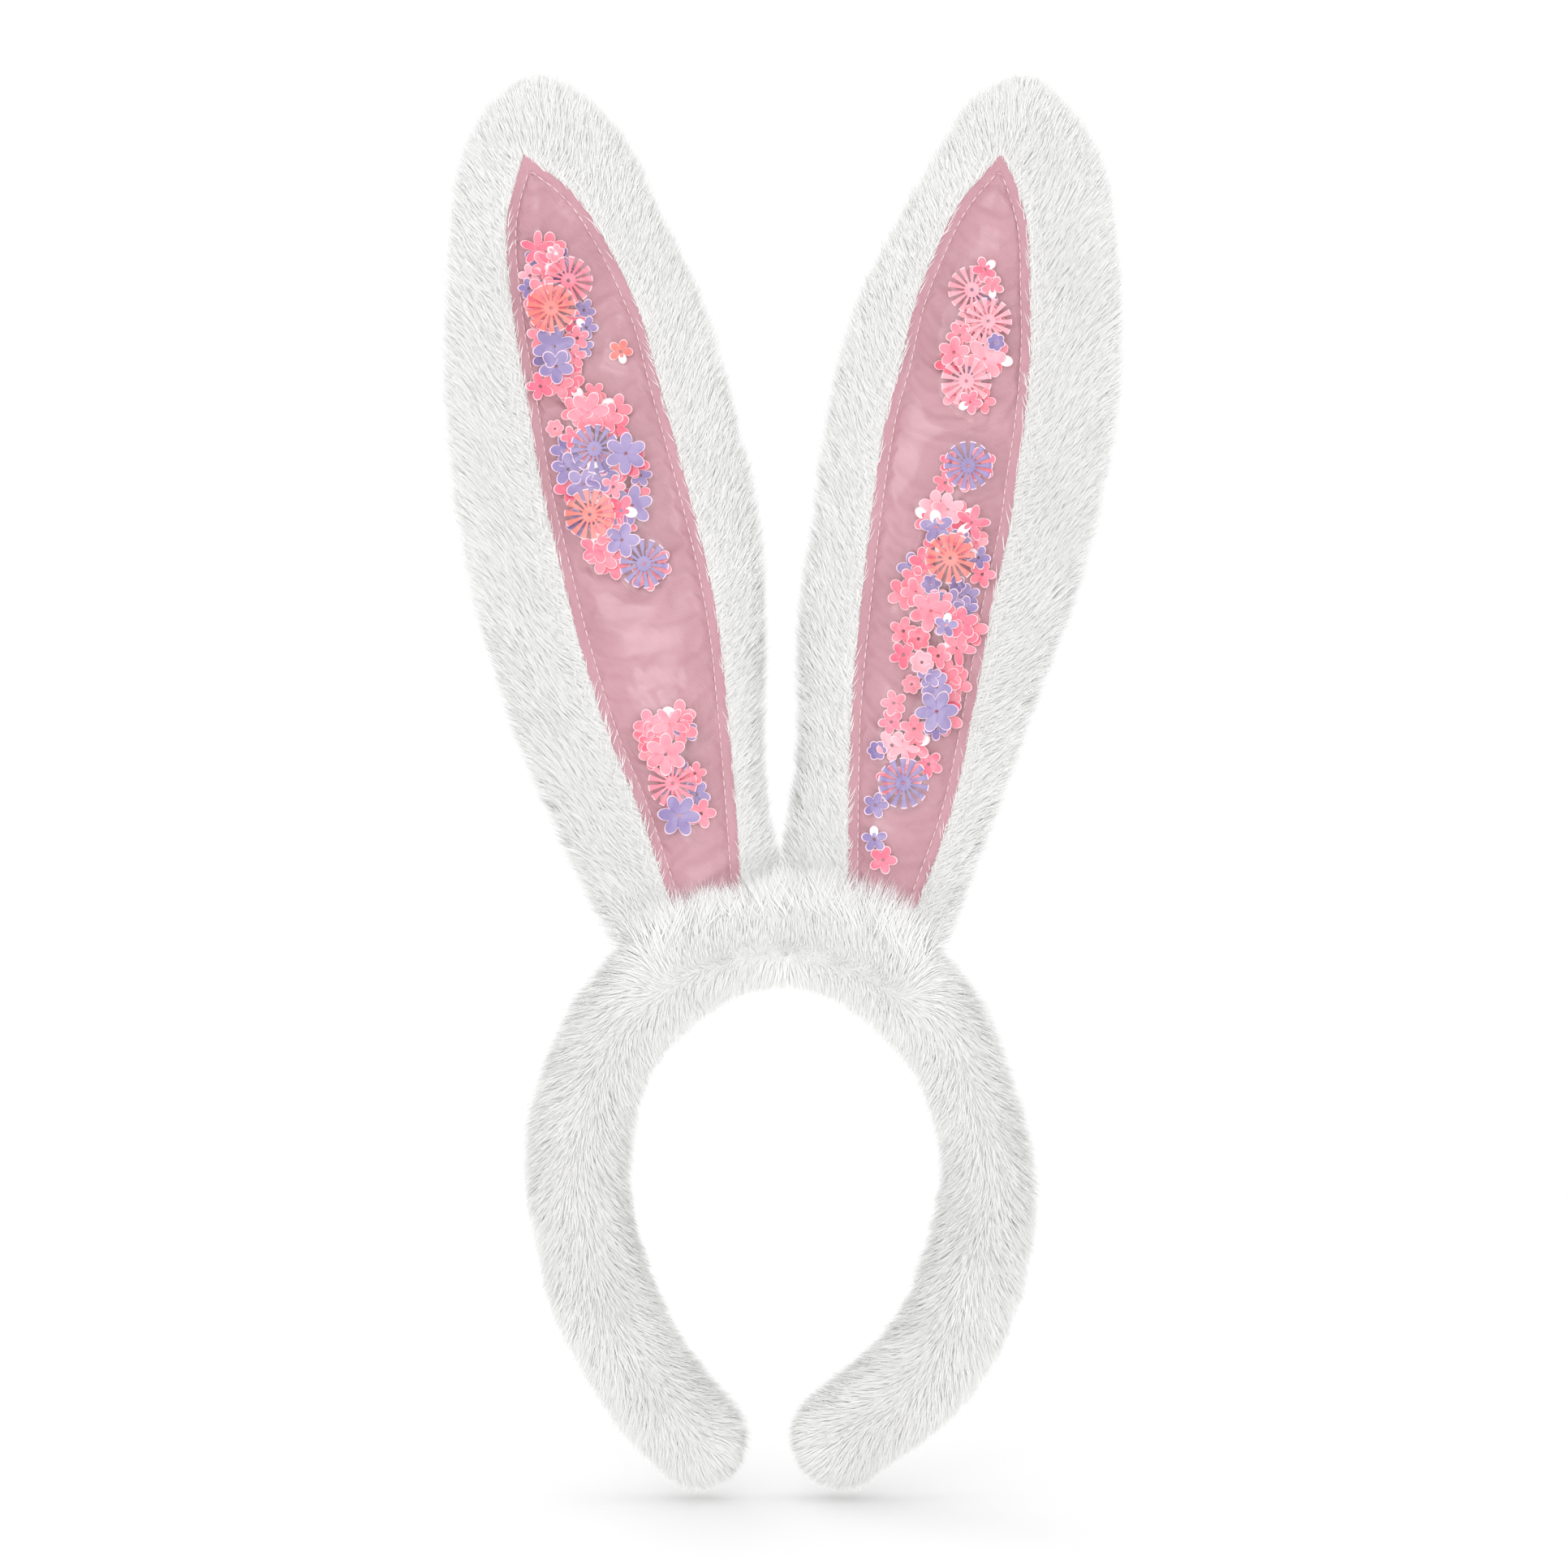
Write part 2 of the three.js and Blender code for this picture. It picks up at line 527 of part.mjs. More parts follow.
function buildEar(ear, key) {
  const group = new THREE.Group();
  group.position.set(ear.baseX, 0, EAR_BASE_Z);
  group.rotation.y = ear.side * EAR_LEAN;
  headband.add(group);

  const outline = earOutline(ear);
  const recess = slab(satinOutline(ear, -SATIN_RECESS_MARGIN),
    [FRONT_PLUSH[0] - SATIN_RECESS_DEPTH, FRONT_PLUSH[1] - 1]);
  addHalves(group, 'plush_back', ear, key, slab(outline, BACK_PLUSH), BACK_PLUSH,
    BASE_STEP.plush, PLUSH);
  addHalves(group, 'batting', ear, key, slab(earOutline(ear, BATTING_INSET), BATTING), BATTING,
    BASE_STEP.batting, WADDING);
  addHalves(group, 'plush_front', ear, key, slab(outline, FRONT_PLUSH).subtract(recess),
    FRONT_PLUSH, BASE_STEP.plush, PLUSH);
  addHalves(group, 'satin', ear, key, slab(satinOutline(ear), SATIN), FRONT_PLUSH,
    BASE_STEP.satin, SATIN_PINK);
  const dome = slab(satinOutline(ear, DOME_INSET), FILM_DOME)
    .intersect(aboveBase(ear, BASE_STEP.dome));
  const pocket = slab(satinOutline(ear, DOME_INSET + FILM_WALL),
    [FILM_DOME[0] + 1, FILM_DOME[1] + FILM_WALL])
    .intersect(aboveBase(ear, BASE_STEP.dome + FILM_WALL));
  const window = slab(satinOutline(ear, FILM_INSET), FILM_EDGE).add(dome).subtract(pocket);
  addHalves(group, 'window', ear, key, window, FRONT_PLUSH, BASE_STEP.film, FILM);
  addHalves(group, 'topstitch', ear, key, stitchRow(ear, BASE_STEP.stitch), FRONT_PLUSH,
    BASE_STEP.stitch, THREAD);
  addWire(group, ear, key);
  addSequins(group, ear, key);
  addFoot(ear, key);
}

buildHoop();
for (const [key, ear] of Object.entries(EARS)) buildEar(ear, key);

export default headband;
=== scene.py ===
"""Looks of the rabbit-ear headband: plush with real pile, satin panels, loose sequins, windows."""
import json
import math

import bpy
import numpy as np
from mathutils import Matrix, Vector
from mathutils.bvhtree import BVHTree


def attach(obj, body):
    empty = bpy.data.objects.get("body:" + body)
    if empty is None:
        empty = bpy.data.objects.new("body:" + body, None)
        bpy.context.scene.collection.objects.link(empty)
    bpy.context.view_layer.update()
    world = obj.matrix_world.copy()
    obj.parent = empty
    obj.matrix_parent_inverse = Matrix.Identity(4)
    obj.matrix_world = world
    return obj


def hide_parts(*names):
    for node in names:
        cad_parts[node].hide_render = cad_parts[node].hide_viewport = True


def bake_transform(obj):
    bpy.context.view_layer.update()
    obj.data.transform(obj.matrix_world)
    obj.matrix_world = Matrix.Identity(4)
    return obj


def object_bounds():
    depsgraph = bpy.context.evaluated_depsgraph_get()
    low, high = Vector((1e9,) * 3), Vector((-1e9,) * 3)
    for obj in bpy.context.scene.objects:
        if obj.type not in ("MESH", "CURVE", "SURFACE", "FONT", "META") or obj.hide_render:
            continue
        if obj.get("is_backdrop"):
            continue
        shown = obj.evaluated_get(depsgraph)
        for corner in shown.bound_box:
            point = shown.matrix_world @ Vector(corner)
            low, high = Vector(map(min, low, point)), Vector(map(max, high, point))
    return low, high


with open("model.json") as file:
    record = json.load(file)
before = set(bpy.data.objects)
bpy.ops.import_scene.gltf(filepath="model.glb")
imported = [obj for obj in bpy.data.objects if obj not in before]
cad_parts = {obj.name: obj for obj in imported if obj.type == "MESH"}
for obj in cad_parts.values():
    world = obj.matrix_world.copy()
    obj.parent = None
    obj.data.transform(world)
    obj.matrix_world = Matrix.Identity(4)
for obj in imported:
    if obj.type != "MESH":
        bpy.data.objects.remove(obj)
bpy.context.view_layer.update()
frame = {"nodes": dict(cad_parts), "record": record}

MM = 0.001
rng = np.random.default_rng(20731)

# ---- Camera and stage: the photograph's level view of the front ----
VIEW_WIDTH = 0.483  # width seen at the object, metres
VIEW_CENTRE = (0.00025, 0.0622)  # x and z of the middle of the view
LENS = 100
SENSOR = 36
FLOOR_GAP = 0.0005  # between the pile at the hoop's tips and the floor
FLOOR_RADIUS = 1.1
FLOOR_SIDES = 96
ROOM_LIGHT = 0.86
BACKDROP_LIGHT = 1.02
# Place, target, size and power of each soft box.
SOFT_BOXES = {
    "front_softbox": ((-0.25, -1.45, 0.4), (0, 0, 0.02), 0.9, 5.1),
    "side_softbox": ((1.1, -0.9, 0.1), (0, 0, 0.05), 0.5, 0.8),
    "top_softbox": ((0, 0.35, 1.3), (0, 0, 0), 1.4, 0.8),
    "low_reflector": ((0, -0.85, -0.11), (0, 0, 0.02), 0.55, 1.9),
    "back_softbox": ((-0.5, 1.3, 0.6), (0, 0, 0.08), 0.9, 3),
}


def make_camera():
    camera = bpy.data.objects.new("camera", bpy.data.cameras.new("camera"))
    bpy.context.scene.collection.objects.link(camera)
    camera.data.lens = LENS
    camera.data.sensor_width = SENSOR
    distance = VIEW_WIDTH * LENS / SENSOR
    camera.location = (VIEW_CENTRE[0], -distance, VIEW_CENTRE[1])
    camera.rotation_euler = (math.pi / 2, 0, 0)
    bpy.context.scene.camera = camera


def area_light(name, place, target, size, power):
    light = bpy.data.objects.new(name, bpy.data.lights.new(name, "AREA"))
    bpy.context.scene.collection.objects.link(light)
    light.data.size = size
    light.data.energy = power
    light.location = place
    light.rotation_euler = (Vector(target) - Vector(place)).to_track_quat("-Z", "Y").to_euler()


def make_lights():
    """A white backdrop, an even room light and the soft boxes."""
    world = bpy.data.worlds.new("studio")
    bpy.context.scene.world = world
    world.use_nodes = True
    nodes = world.node_tree.nodes
    room, backdrop = nodes["Background"], nodes.new("ShaderNodeBackground")
    for light, strength in ((room, ROOM_LIGHT), (backdrop, BACKDROP_LIGHT)):
        light.inputs["Color"].default_value = (1, 1, 1, 1)
        light.inputs["Strength"].default_value = strength
    choose = nodes.new("ShaderNodeMixShader")
    link(nodes.new("ShaderNodeLightPath").outputs["Is Camera Ray"], choose.inputs[0])
    link(room.outputs[0], choose.inputs[1])
    link(backdrop.outputs[0], choose.inputs[2])
    link(choose.outputs[0], nodes["World Output"].inputs["Surface"])
    for name, (place, target, size, power) in SOFT_BOXES.items():
        area_light(name, place, target, size, power)
    bpy.context.scene.view_settings.view_transform = "Standard"


# ---- Materials ----
def principled(name, **sockets):
    material = bpy.data.materials.new(name)
    material.use_nodes = True
    shader = material.node_tree.nodes["Principled BSDF"]
    for key, value in sockets.items():
        socket = shader.inputs[key.replace("_", " ")]
        socket.default_value = (*value, 1) if isinstance(value, tuple) else value
    return material, shader


def node(material, kind, **settings):
    made = material.node_tree.nodes.new(kind)
    for key, value in settings.items():
        if hasattr(made, key):
            setattr(made, key, value)
        else:
            made.inputs[key.replace("_", " ")].default_value = value
    return made


def link(output, socket):
    output.id_data.links.new(output, socket)


def texture(material, kind, turned=(0, 0, 0), **settings):
    """A texture node's value over the object's own coordinates, turned by angles in degrees."""
    place = node(material, "ShaderNodeTexCoord").outputs["Object"]
    if any(turned):
        turn = node(material, "ShaderNodeMapping", Rotation=[math.radians(t) for t in turned])
        link(place, turn.inputs["Vector"])
        place = turn.outputs["Vector"]
    made = node(material, kind, **settings)
    link(place, made.inputs["Vector"])
    return made.outputs["Fac"]


def drift(material, shader, colours, scale, stops=(0.3, 0.7)):
    """Lets the shader's colour drift between two colours over the surface."""
    ramp = node(material, "ShaderNodeValToRGB")
    for element, stop, colour in zip(ramp.color_ramp.elements, stops, colours):
        element.position = stop
        element.color = (*colour, 1)
    noise = texture(material, "ShaderNodeTexNoise", Scale=scale, Detail=3.0)
    link(noise, ramp.inputs["Fac"])
    link(ramp.outputs["Color"], shader.inputs["Base Color"])


def emboss(material, shader, height, strength, distance):
    raised = node(material, "ShaderNodeBump", Strength=strength, Distance=distance)
    link(height, raised.inputs["Height"])
    link(raised.outputs["Normal"], shader.inputs["Normal"])


def mottled(name, colours, scale, roughness, bump=0.0, bump_scale=0.0, **sockets):
    """A material whose colour drifts between two colours and whose surface has a fine bump."""
    material, shader = principled(name, Roughness=roughness, **sockets)
    drift(material, shader, colours, scale)
    if bump:
        grain = texture(material, "ShaderNodeTexNoise", Scale=bump_scale, Detail=2.0)
        emboss(material, shader, grain, bump, 0.0004)
    return material


def satin_material():
    """Satin weave: fine slanted floats across the panel, a soft directional sheen."""
    material, shader = principled("satin_pink", Roughness=0.40, Anisotropic=0.55,
                                  Sheen_Weight=0.12, Sheen_Roughness=0.35)
    drift(material, shader, ((0.49, 0.242, 0.288), (0.555, 0.288, 0.338)), 38.0, (0.3, 0.72))
    floats = texture(material, "ShaderNodeTexWave", turned=(0, 38, 0), Scale=420.0,
                     Distortion=1.2, Detail=1.0, bands_direction="X")
    emboss(material, shader, floats, 0.22, 0.0002)
    return material


def film_material():
    """Clear soft vinyl: see-through, mirror-like at a glance and a little hazy."""
    material, shine = principled("clear_vinyl", Base_Color=(1.0, 0.97, 0.98), Metallic=1.0,
                                 Roughness=0.27)
    clear = node(material, "ShaderNodeBsdfTransparent", Color=(1.0, 0.99, 0.993, 1))
    facing = node(material, "ShaderNodeLayerWeight", Blend=0.5)
    steep = node(material, "ShaderNodeMath", operation="POWER")
    steep.inputs[1].default_value = 4.0
    share = node(material, "ShaderNodeMath", operation="MULTIPLY_ADD")
    share.inputs[1].default_value = 0.7
    share.inputs[2].default_value = 0.045
    mix = node(material, "ShaderNodeMixShader")
    link(facing.outputs["Facing"], steep.inputs[0])
    link(steep.outputs[0], share.inputs[0])
    for number, shown in enumerate((share, clear, shine)):
        link(shown.outputs[0], mix.inputs[number])
    link(mix.outputs[0], material.node_tree.nodes["Material Output"].inputs["Surface"])
    return material


PLUSH_TONES = [
    principled("pile_" + name, Base_Color=colour, Roughness=0.75, Sheen_Weight=0.15,
               Sheen_Roughness=0.5)[0]
    for name, colour in (
        ("bright", (0.965, 0.965, 0.955)),
        ("middle", (0.945, 0.945, 0.935)),
        ("cool", (0.92, 0.925, 0.915)),
    )
]
PLUSH_BACKING = mottled("plush_backing", ((0.80, 0.81, 0.79), (0.88, 0.885, 0.875)), 60.0, 0.95,
                        bump=0.5, bump_scale=900.0)
SATIN = satin_material()
FILM = film_material()
THREAD = mottled("pink_thread", ((0.80, 0.50, 0.57), (0.92, 0.70, 0.75)), 700.0, 0.6, bump=0.4,
                 bump_scale=3000.0)
WIRE = mottled("drawn_wire", ((0.45, 0.46, 0.47), (0.62, 0.63, 0.64)), 300.0, 0.32, Metallic=1.0)
CORE = mottled("core_moulding", ((0.80, 0.79, 0.76), (0.86, 0.85, 0.83)), 80.0, 0.45, bump=0.2,
               bump_scale=900.0)
SEQUIN_COLOURS = {
    "hot": ((0.88, 0.07, 0.16), (0.90, 0.11, 0.21)),
    "pink": ((0.89, 0.12, 0.20), (0.90, 0.19, 0.27)),
    "pale": ((0.89, 0.28, 0.36), (0.90, 0.37, 0.44)),
    "coral": ((0.89, 0.12, 0.09), (0.90, 0.16, 0.13)),
    "violet": ((0.19, 0.13, 0.36), (0.25, 0.17, 0.43)),
    # white: a painted glint, put on the middle of one petal of some flowers to stand for a highlight
    "white": ((0.95, 0.92, 0.94), (0.98, 0.97, 0.98)),
    # Painted highlights: paler edges of petals and rays, standing for light catching the sequins'
    # edges.
    "highlight_rim": ((0.96, 0.56, 0.62), (0.98, 0.70, 0.75)),
    "highlight_rim_violet": ((0.90, 0.62, 0.74), (0.95, 0.72, 0.82)),
}
SEQUIN_ORDER = list(SEQUIN_COLOURS)
SEQUIN_LOOKS = [mottled("sequin_" + name, pair, 160.0, 0.24, Coat_Weight=0.3, Coat_Roughness=0.07)
                for name, pair in SEQUIN_COLOURS.items()]


# ---- Mesh helpers ----
def make_object(name, points, triangles, materials, indices=None, smooth=True):
    """A mesh object from arrays of points in metres and triangles."""
    points = np.asarray(points, np.float32)
    triangles = np.asarray(triangles, np.int32)
    mesh = bpy.data.meshes.new(name)
    mesh.vertices.add(len(points))
    mesh.vertices.foreach_set("co", points.ravel())
    mesh.loops.add(len(triangles) * 3)
    mesh.loops.foreach_set("vertex_index", triangles.ravel())
    mesh.polygons.add(len(triangles))
    mesh.polygons.foreach_set("loop_start", np.arange(0, len(triangles) * 3, 3, dtype=np.int32))
    for material in materials:
        mesh.materials.append(material)
    if indices is not None:
        mesh.polygons.foreach_set("material_index", np.asarray(indices, np.int32))
    mesh.polygons.foreach_set("use_smooth", np.full(len(triangles), smooth))
    mesh.update(calc_edges=True)
    mesh.validate()
    made = bpy.data.objects.new(name, mesh)
    bpy.context.scene.collection.objects.link(made)
    return made


def grid_triangles(rows, columns, closed=False):
    """Triangles over a grid of points, row by row; closed joins the last column to the first."""
    across = columns if closed else columns - 1
    r, c = np.meshgrid(np.arange(rows - 1), np.arange(across), indexing="ij")
    a = (r * columns + c).ravel()
    b = (r * columns + (c + 1) % columns).ravel()
    d = ((r + 1) * columns + c).ravel()
    e = ((r + 1) * columns + (c + 1) % columns).ravel()
    return np.concatenate([np.stack([a, b, e], 1), np.stack([a, e, d], 1)])


def unit(vectors):
    return vectors / np.maximum(np.linalg.norm(vectors, axis=-1, keepdims=True), 1e-12)


def at_depth(flat, y):
    """Points from pairs of x and z, at depth y."""
    return np.column_stack([flat[:, 0], np.broadcast_to(y, len(flat)), flat[:, 1]])


def triangle_normals(points, triangles):
    """Each triangle's normal, twice as long as its area."""
    corners = points[triangles]
    return np.cross(corners[:, 1] - corners[:, 0], corners[:, 2] - corners[:, 0])


def vertex_normals(points, triangles):
    normals = np.zeros_like(points)
    for corner in triangles.T:
        np.add.at(normals, corner, triangle_normals(points, triangles))
    return unit(normals)


def triangle_areas(points, triangles):
    return 0.5 * np.linalg.norm(triangle_normals(points, triangles), axis=1)


def outward_faces(points, triangles, middle):
    """The triangles, all turned over if they face the middle."""
    out = points[triangles].mean(1) - middle
    facing = (triangle_normals(points, triangles) * out).sum()
    return triangles if facing > 0 else triangles[:, ::-1]


def length_along(line):
    """The length of a line of points up to each of them."""
    return np.concatenate([[0], np.cumsum(np.linalg.norm(np.diff(line, axis=0), axis=1))])


def nearest_row(points, line):
    """The index of the point of a line that is nearest to each of the points."""
    return ((points[:, None] - line[None]) ** 2).sum(2).argmin(1)


def ripple(points, size, seed, octaves=3):
    """Smooth noise in about -1 to 1 at points in mm, with bumps of about the given size."""
    local = np.random.default_rng(seed)
    total = np.zeros(len(points))
    for octave in range(octaves):
        for _ in range(4):
            wave = unit(local.normal(size=3)) * (2 * math.pi / size) * 1.7 ** octave
            total += np.sin(points @ wave + local.uniform(0, 7)) / 1.7 ** octave
    return total / 4.2


def catmull_rom(points, count):
    """Centripetal Catmull-Rom spline through points, sampled evenly along its length."""
    points = np.asarray(points, float)
    padded = np.vstack([2 * points[0] - points[1], points, 2 * points[-1] - points[-2]])
    fine = []
    for i in range(1, len(padded) - 2):
        p0, p1, p2, p3 = padded[i - 1:i + 3]
        d0, d1, d2 = (math.sqrt(np.linalg.norm((q - p)[:2])) for p, q in
                      ((p0, p1), (p1, p2), (p2, p3)))
        t1 = ((p1 - p0) / d0 - (p2 - p0) / (d0 + d1) + (p2 - p1) / d1) * d1
        t2 = ((p2 - p1) / d1 - (p3 - p1) / (d1 + d2) + (p3 - p2) / d2) * d1
        t = np.linspace(0, 1, 24, endpoint=False)[:, None]
        fine.append(p1 + t1 * t + (3 * (p2 - p1) - 2 * t1 - t2) * t ** 2
                    + (2 * (p1 - p2) + t1 + t2) * t ** 3)
    fine = np.vstack([*fine, points[-1:]])
    along = length_along(fine[:, :2])
    want = np.linspace(0, along[-1], count)
    return np.stack([np.interp(want, along, fine[:, k]) for k in range(fine.shape[1])], 1)


# ---- Pile ----
PILE_WIDTH = 0.20  # of a tuft of fibres at its root, mm
CLUMP_SIZE = 3.2
CLUMPING = 0.12  # how far a tip is drawn towards its clump's middle, at most
PIECE_STRANDS = 60000  # the most strands in one object


def scatter(points, triangles, normals, density):
    """Random points on a surface, density per square mm, with the surface normal at each."""
    area = triangle_areas(points, triangles)
    count = int(area.sum() * density)
    chosen = np.searchsorted(np.cumsum(area) / area.sum(), rng.random(count))
    a, b = rng.random((2, count))
    flip = a + b > 1
    a[flip], b[flip] = 1 - a[flip], 1 - b[flip]
    weights = np.stack([1 - a - b, a, b], 1)[:, :, None]
    roots = (points[triangles[chosen]] * weights).sum(1)
    return roots, unit((normals[triangles[chosen]] * weights).sum(1))


def strands(roots, skin, comb, length, lean, grow=None):
    """Tapered ribbons from roots, leaning from the skin's normal, or grow, towards comb.

    Gives five points for each ribbon and the normal that it is shaded with: lying fibres are
    shaded as the skin is, upright ones more by the way that they face. All in mm.
    """
    count = len(roots)
    grow = skin if grow is None else grow
    comb = unit(comb - (comb * grow).sum(1, keepdims=True) * grow)
    side = np.cross(grow, comb)
    swirl = 0.24 * ripple(roots, 30, 5) + rng.normal(0, 0.17, count)
    comb = comb * np.cos(swirl)[:, None] + side * np.sin(swirl)[:, None]
    angle = lean + 0.12 * ripple(roots, 18, 9) + rng.normal(0, 0.10, count)
    reach = length * (1 + 0.06 * ripple(roots, 14, 3) + rng.normal(0, 0.08, count))

    def stretch(share, bend):
        turned = (angle * bend)[:, None]
        return reach[:, None] * share * (grow * np.cos(turned) + comb * np.sin(turned))

    middle = roots + stretch(0.52, 0.75)
    tip = middle + stretch(0.5, 1.15)
    # Tips draw together into small clumps.
    cells = np.floor((roots + rng.normal(0, 0.3, (count, 3))) / CLUMP_SIZE)
    _, clump = np.unique(cells.astype(int), axis=0, return_inverse=True)
    clump = clump.ravel()
    total = np.zeros((clump.max() + 1, 3))
    np.add.at(total, clump, tip)
    centre = total / np.bincount(clump)[:, None]
    tip = tip + (centre[clump] - tip) * (CLUMPING * rng.random(count))[:, None]
    run = unit(tip - roots)
    flat = unit(np.cross(run, skin) + 1e-6)
    roll = rng.normal(0, 0.3, count)[:, None]
    across = flat * np.cos(roll) + np.cross(run, flat) * np.sin(roll)
    width = (PILE_WIDTH * (0.8 + 0.4 * rng.random(count)))[:, None] / 2
    ribbons = np.stack([roots - across * width, roots + across * width,
                        middle + across * width * 0.85, middle - across * width * 0.85,
                        tip], 1)
    return ribbons, unit(0.85 * skin + 0.6 * np.cross(across, run))


STRAND_FACES = np.array([[0, 1, 2], [0, 2, 3], [3, 2, 4]])


def pile_objects(name, pile, place):
    """Objects that hold a pile's ribbons with their shading, each small enough."""
    ribbons, shade = pile
    tone = rng.choice(3, size=len(ribbons), p=(0.45, 0.4, 0.15))
    pieces = math.ceil(len(ribbons) / PIECE_STRANDS)
    order = np.argsort(ribbons[:, 0, 2], kind="stable")
    made = []
    for number, chosen in enumerate(np.array_split(order, pieces)):
        points = place(ribbons[chosen].reshape(-1, 3)) * MM
        faces = (STRAND_FACES[None] + 5 * np.arange(len(chosen))[:, None, None]).reshape(-1, 3)
        piece = make_object(f"{name}_{number + 1}", points, faces, PLUSH_TONES,
                            np.repeat(tone[chosen], 3))
        turned = place(shade[chosen]) - place(np.zeros((1, 3)))
        piece.data.normals_split_custom_set_from_vertices(np.repeat(turned, 5, 0).tolist())
        made.append(piece)
    return made


# ---- Hoop ----
# Centre line as x, z and the radius out to the tips of the pile, left tip to right tip.
HOOP_LINE = [
    [-26.5, -139, 15.6], [-37.5, -126, 16.2], [-50, -107, 16.5], [-59, -84, 16.6],
    [-63, -60, 16.6], [-61.5, -38, 16.3], [-53, -16, 15.9], [-40, 0, 16.1],
    [-22, 11.5, 16.1], [0, 15, 16.1], [22, 11, 15.8], [39, -1, 15.4],
    [51.5, -17, 14.4], [59, -36, 13.9], [63, -58, 14.9], [60.5, -80, 16.6],
    [53, -102, 16.9], [40, -121, 16.5], [18, -139, 16],
]
HOOP_PILE = 7.2  # length of the pile on the hoop
HOOP_STANDOFF = 5.0  # how far the leaning pile stands off its backing
HOOP_LEAN = 0.72  # radians from upright
HOOP_DEPTH = 0.94  # front to back, as a share of the radius
HOOP_STATIONS = 241  # along the whole centre line
HOOP_MIDDLE = np.array([0, 0, -60.0])
CROWN_HALF = 56  # from the middle to where the pile starts to turn upward
CROWN_BLEND = 32  # over which it turns
CROWN_RISE = 20  # above the hoop's middle, over which it turns too
PARTING = 22  # from the crown's middle until the pile lies along the hoop
# Top of the long pile in front of the ears' feet, as x and z along the crown.
TUFT_TOP = [(-44, 24), (-38, 27), (-30, 29.5), (-18, 31), (-8, 33), (3, 38), (17, 38.5),
            (25, 33), (33, 28), (44, 24)]
SHOULDER_X = 46.5
DENSITY = 4.2  # tufts on a square mm


def hoop_half(side):
    """The sleeve's backing from the crown's middle to one tip, and its centre line's frames."""
    line = catmull_rom(HOOP_LINE, HOOP_STATIONS)
    half = (line if side > 0 else line[::-1])[HOOP_STATIONS // 2:]
    centre = at_depth(half, 0)
    tangent = unit(np.gradient(centre, axis=0))
    radius = half[:, 2] - HOOP_STANDOFF
    cap = np.linspace(0, math.pi / 2, 9)[1:]
    centre = np.vstack([centre, centre[-1] + tangent[-1] * radius[-1] * np.sin(cap)[:, None]])
    tangent = np.vstack([tangent, np.repeat(tangent[-1:], len(cap), 0)])
    radius = np.concatenate([radius, radius[-1] * np.maximum(np.cos(cap), 0.02)])
    inward = np.stack([tangent[:, 2], 0 * radius, -tangent[:, 0]], 1)
    turn = np.linspace(0, 2 * math.pi, 40, endpoint=False)
    ring = (inward[:, None] * np.cos(turn)[:, None]
            + np.array([0, HOOP_DEPTH, 0]) * np.sin(turn)[:, None])
    points = (centre[:, None] + ring * radius[:, None, None]).reshape(-1, 3)
    out = unit(points - np.repeat(centre, len(turn), 0))
    points += out * (0.7 * ripple(points, 30, 21))[:, None]
    triangles = grid_triangles(len(centre), len(turn), closed=True)
    nearest = nearest_row(points[triangles].mean(1), centre)
    return points, outward_faces(points, triangles, centre[nearest]), centre, tangent


def crown_tufts(roots, normals):
    """Long upright pile on the front of the crown, which hides the feet of the satin."""
    reach = np.interp(roots[:, 0], *zip(*TUFT_TOP)) - roots[:, 2]
    reach += 1.6 * ripple(roots, 11, 71) + rng.normal(0, 1.2, len(roots))
    facing = np.clip((normals[:, 2] - 0.1) * 2.2, 0, 1) * (normals[:, 1] < -0.05)
    ends = np.clip((TUFT_TOP[-1][0] - np.abs(roots[:, 0])) / 9, 0, 1)
    chosen = ((reach > 3) & (roots[:, 2] > HOOP_MIDDLE[2])
              & (rng.random(len(roots)) < facing * ends))
    roots = roots[chosen]
    reach = np.clip(reach[chosen] * 1.06, 6, 19)
    sway = rng.normal(0, 0.2, len(roots)) + 0.35 * ripple(roots, 16, 77)
    upward = unit(np.stack([sway, np.full_like(sway, -0.3), np.ones_like(sway)], 1))
    bent = np.stack([np.sign(sway), np.full_like(sway, -0.4), np.zeros_like(sway)], 1)
    front = unit(0.4 * normals[chosen] + [0, -1, 0.25])
    return strands(roots, front, bent, reach, 0.22, grow=upward)


def hoop_pile(roots, normals, centre, tangent):
    """Pile combed along the arms and up the crown, with the long tufts on the crown."""
    nearest = nearest_row(roots[:, ::2], centre[:, ::2])
    away = np.tanh(np.abs(roots[:, :1]) / PARTING)
    comb = 0.8 * away * tangent[nearest] + 0.35 * normals * [1, 0, 1] + [0, 0, 0.05]
    crown = np.clip((CROWN_HALF - np.abs(roots[:, :1])) / CROWN_BLEND, 0, 1)
    crown = (crown * crown * (3 - 2 * crown)
             * np.clip((roots[:, 2:] - HOOP_MIDDLE[2]) / CROWN_RISE, 0, 1))
    out = unit(centre[nearest] - HOOP_MIDDLE)
    under = np.clip(-1.6 * (normals * out).sum(1, keepdims=True), 0, 1)
    upward = crown * (1 - under)
    comb = comb * (1 - upward) + np.array([0, 0, 1.0]) * upward
    lean = HOOP_LEAN * (1 - 0.5 * under * crown)[:, 0]
    length = HOOP_PILE * (0.8 + 0.2 * away[:, 0])
    # White pile lets light through, so its undersides are shaded more as its faces are.
    down = np.clip(-normals[:, 2:], 0, 1)
    facing = np.sign(normals[:, 1:2]) * [0, 1, 0]
    lit = unit(normals + down * (1.3 * facing + [0, 0, 0.75]))
    short = strands(roots, lit, comb, length, lean, grow=normals)
    tall = crown_tufts(roots, normals)
    return [np.concatenate(pair) for pair in zip(short, tall)]


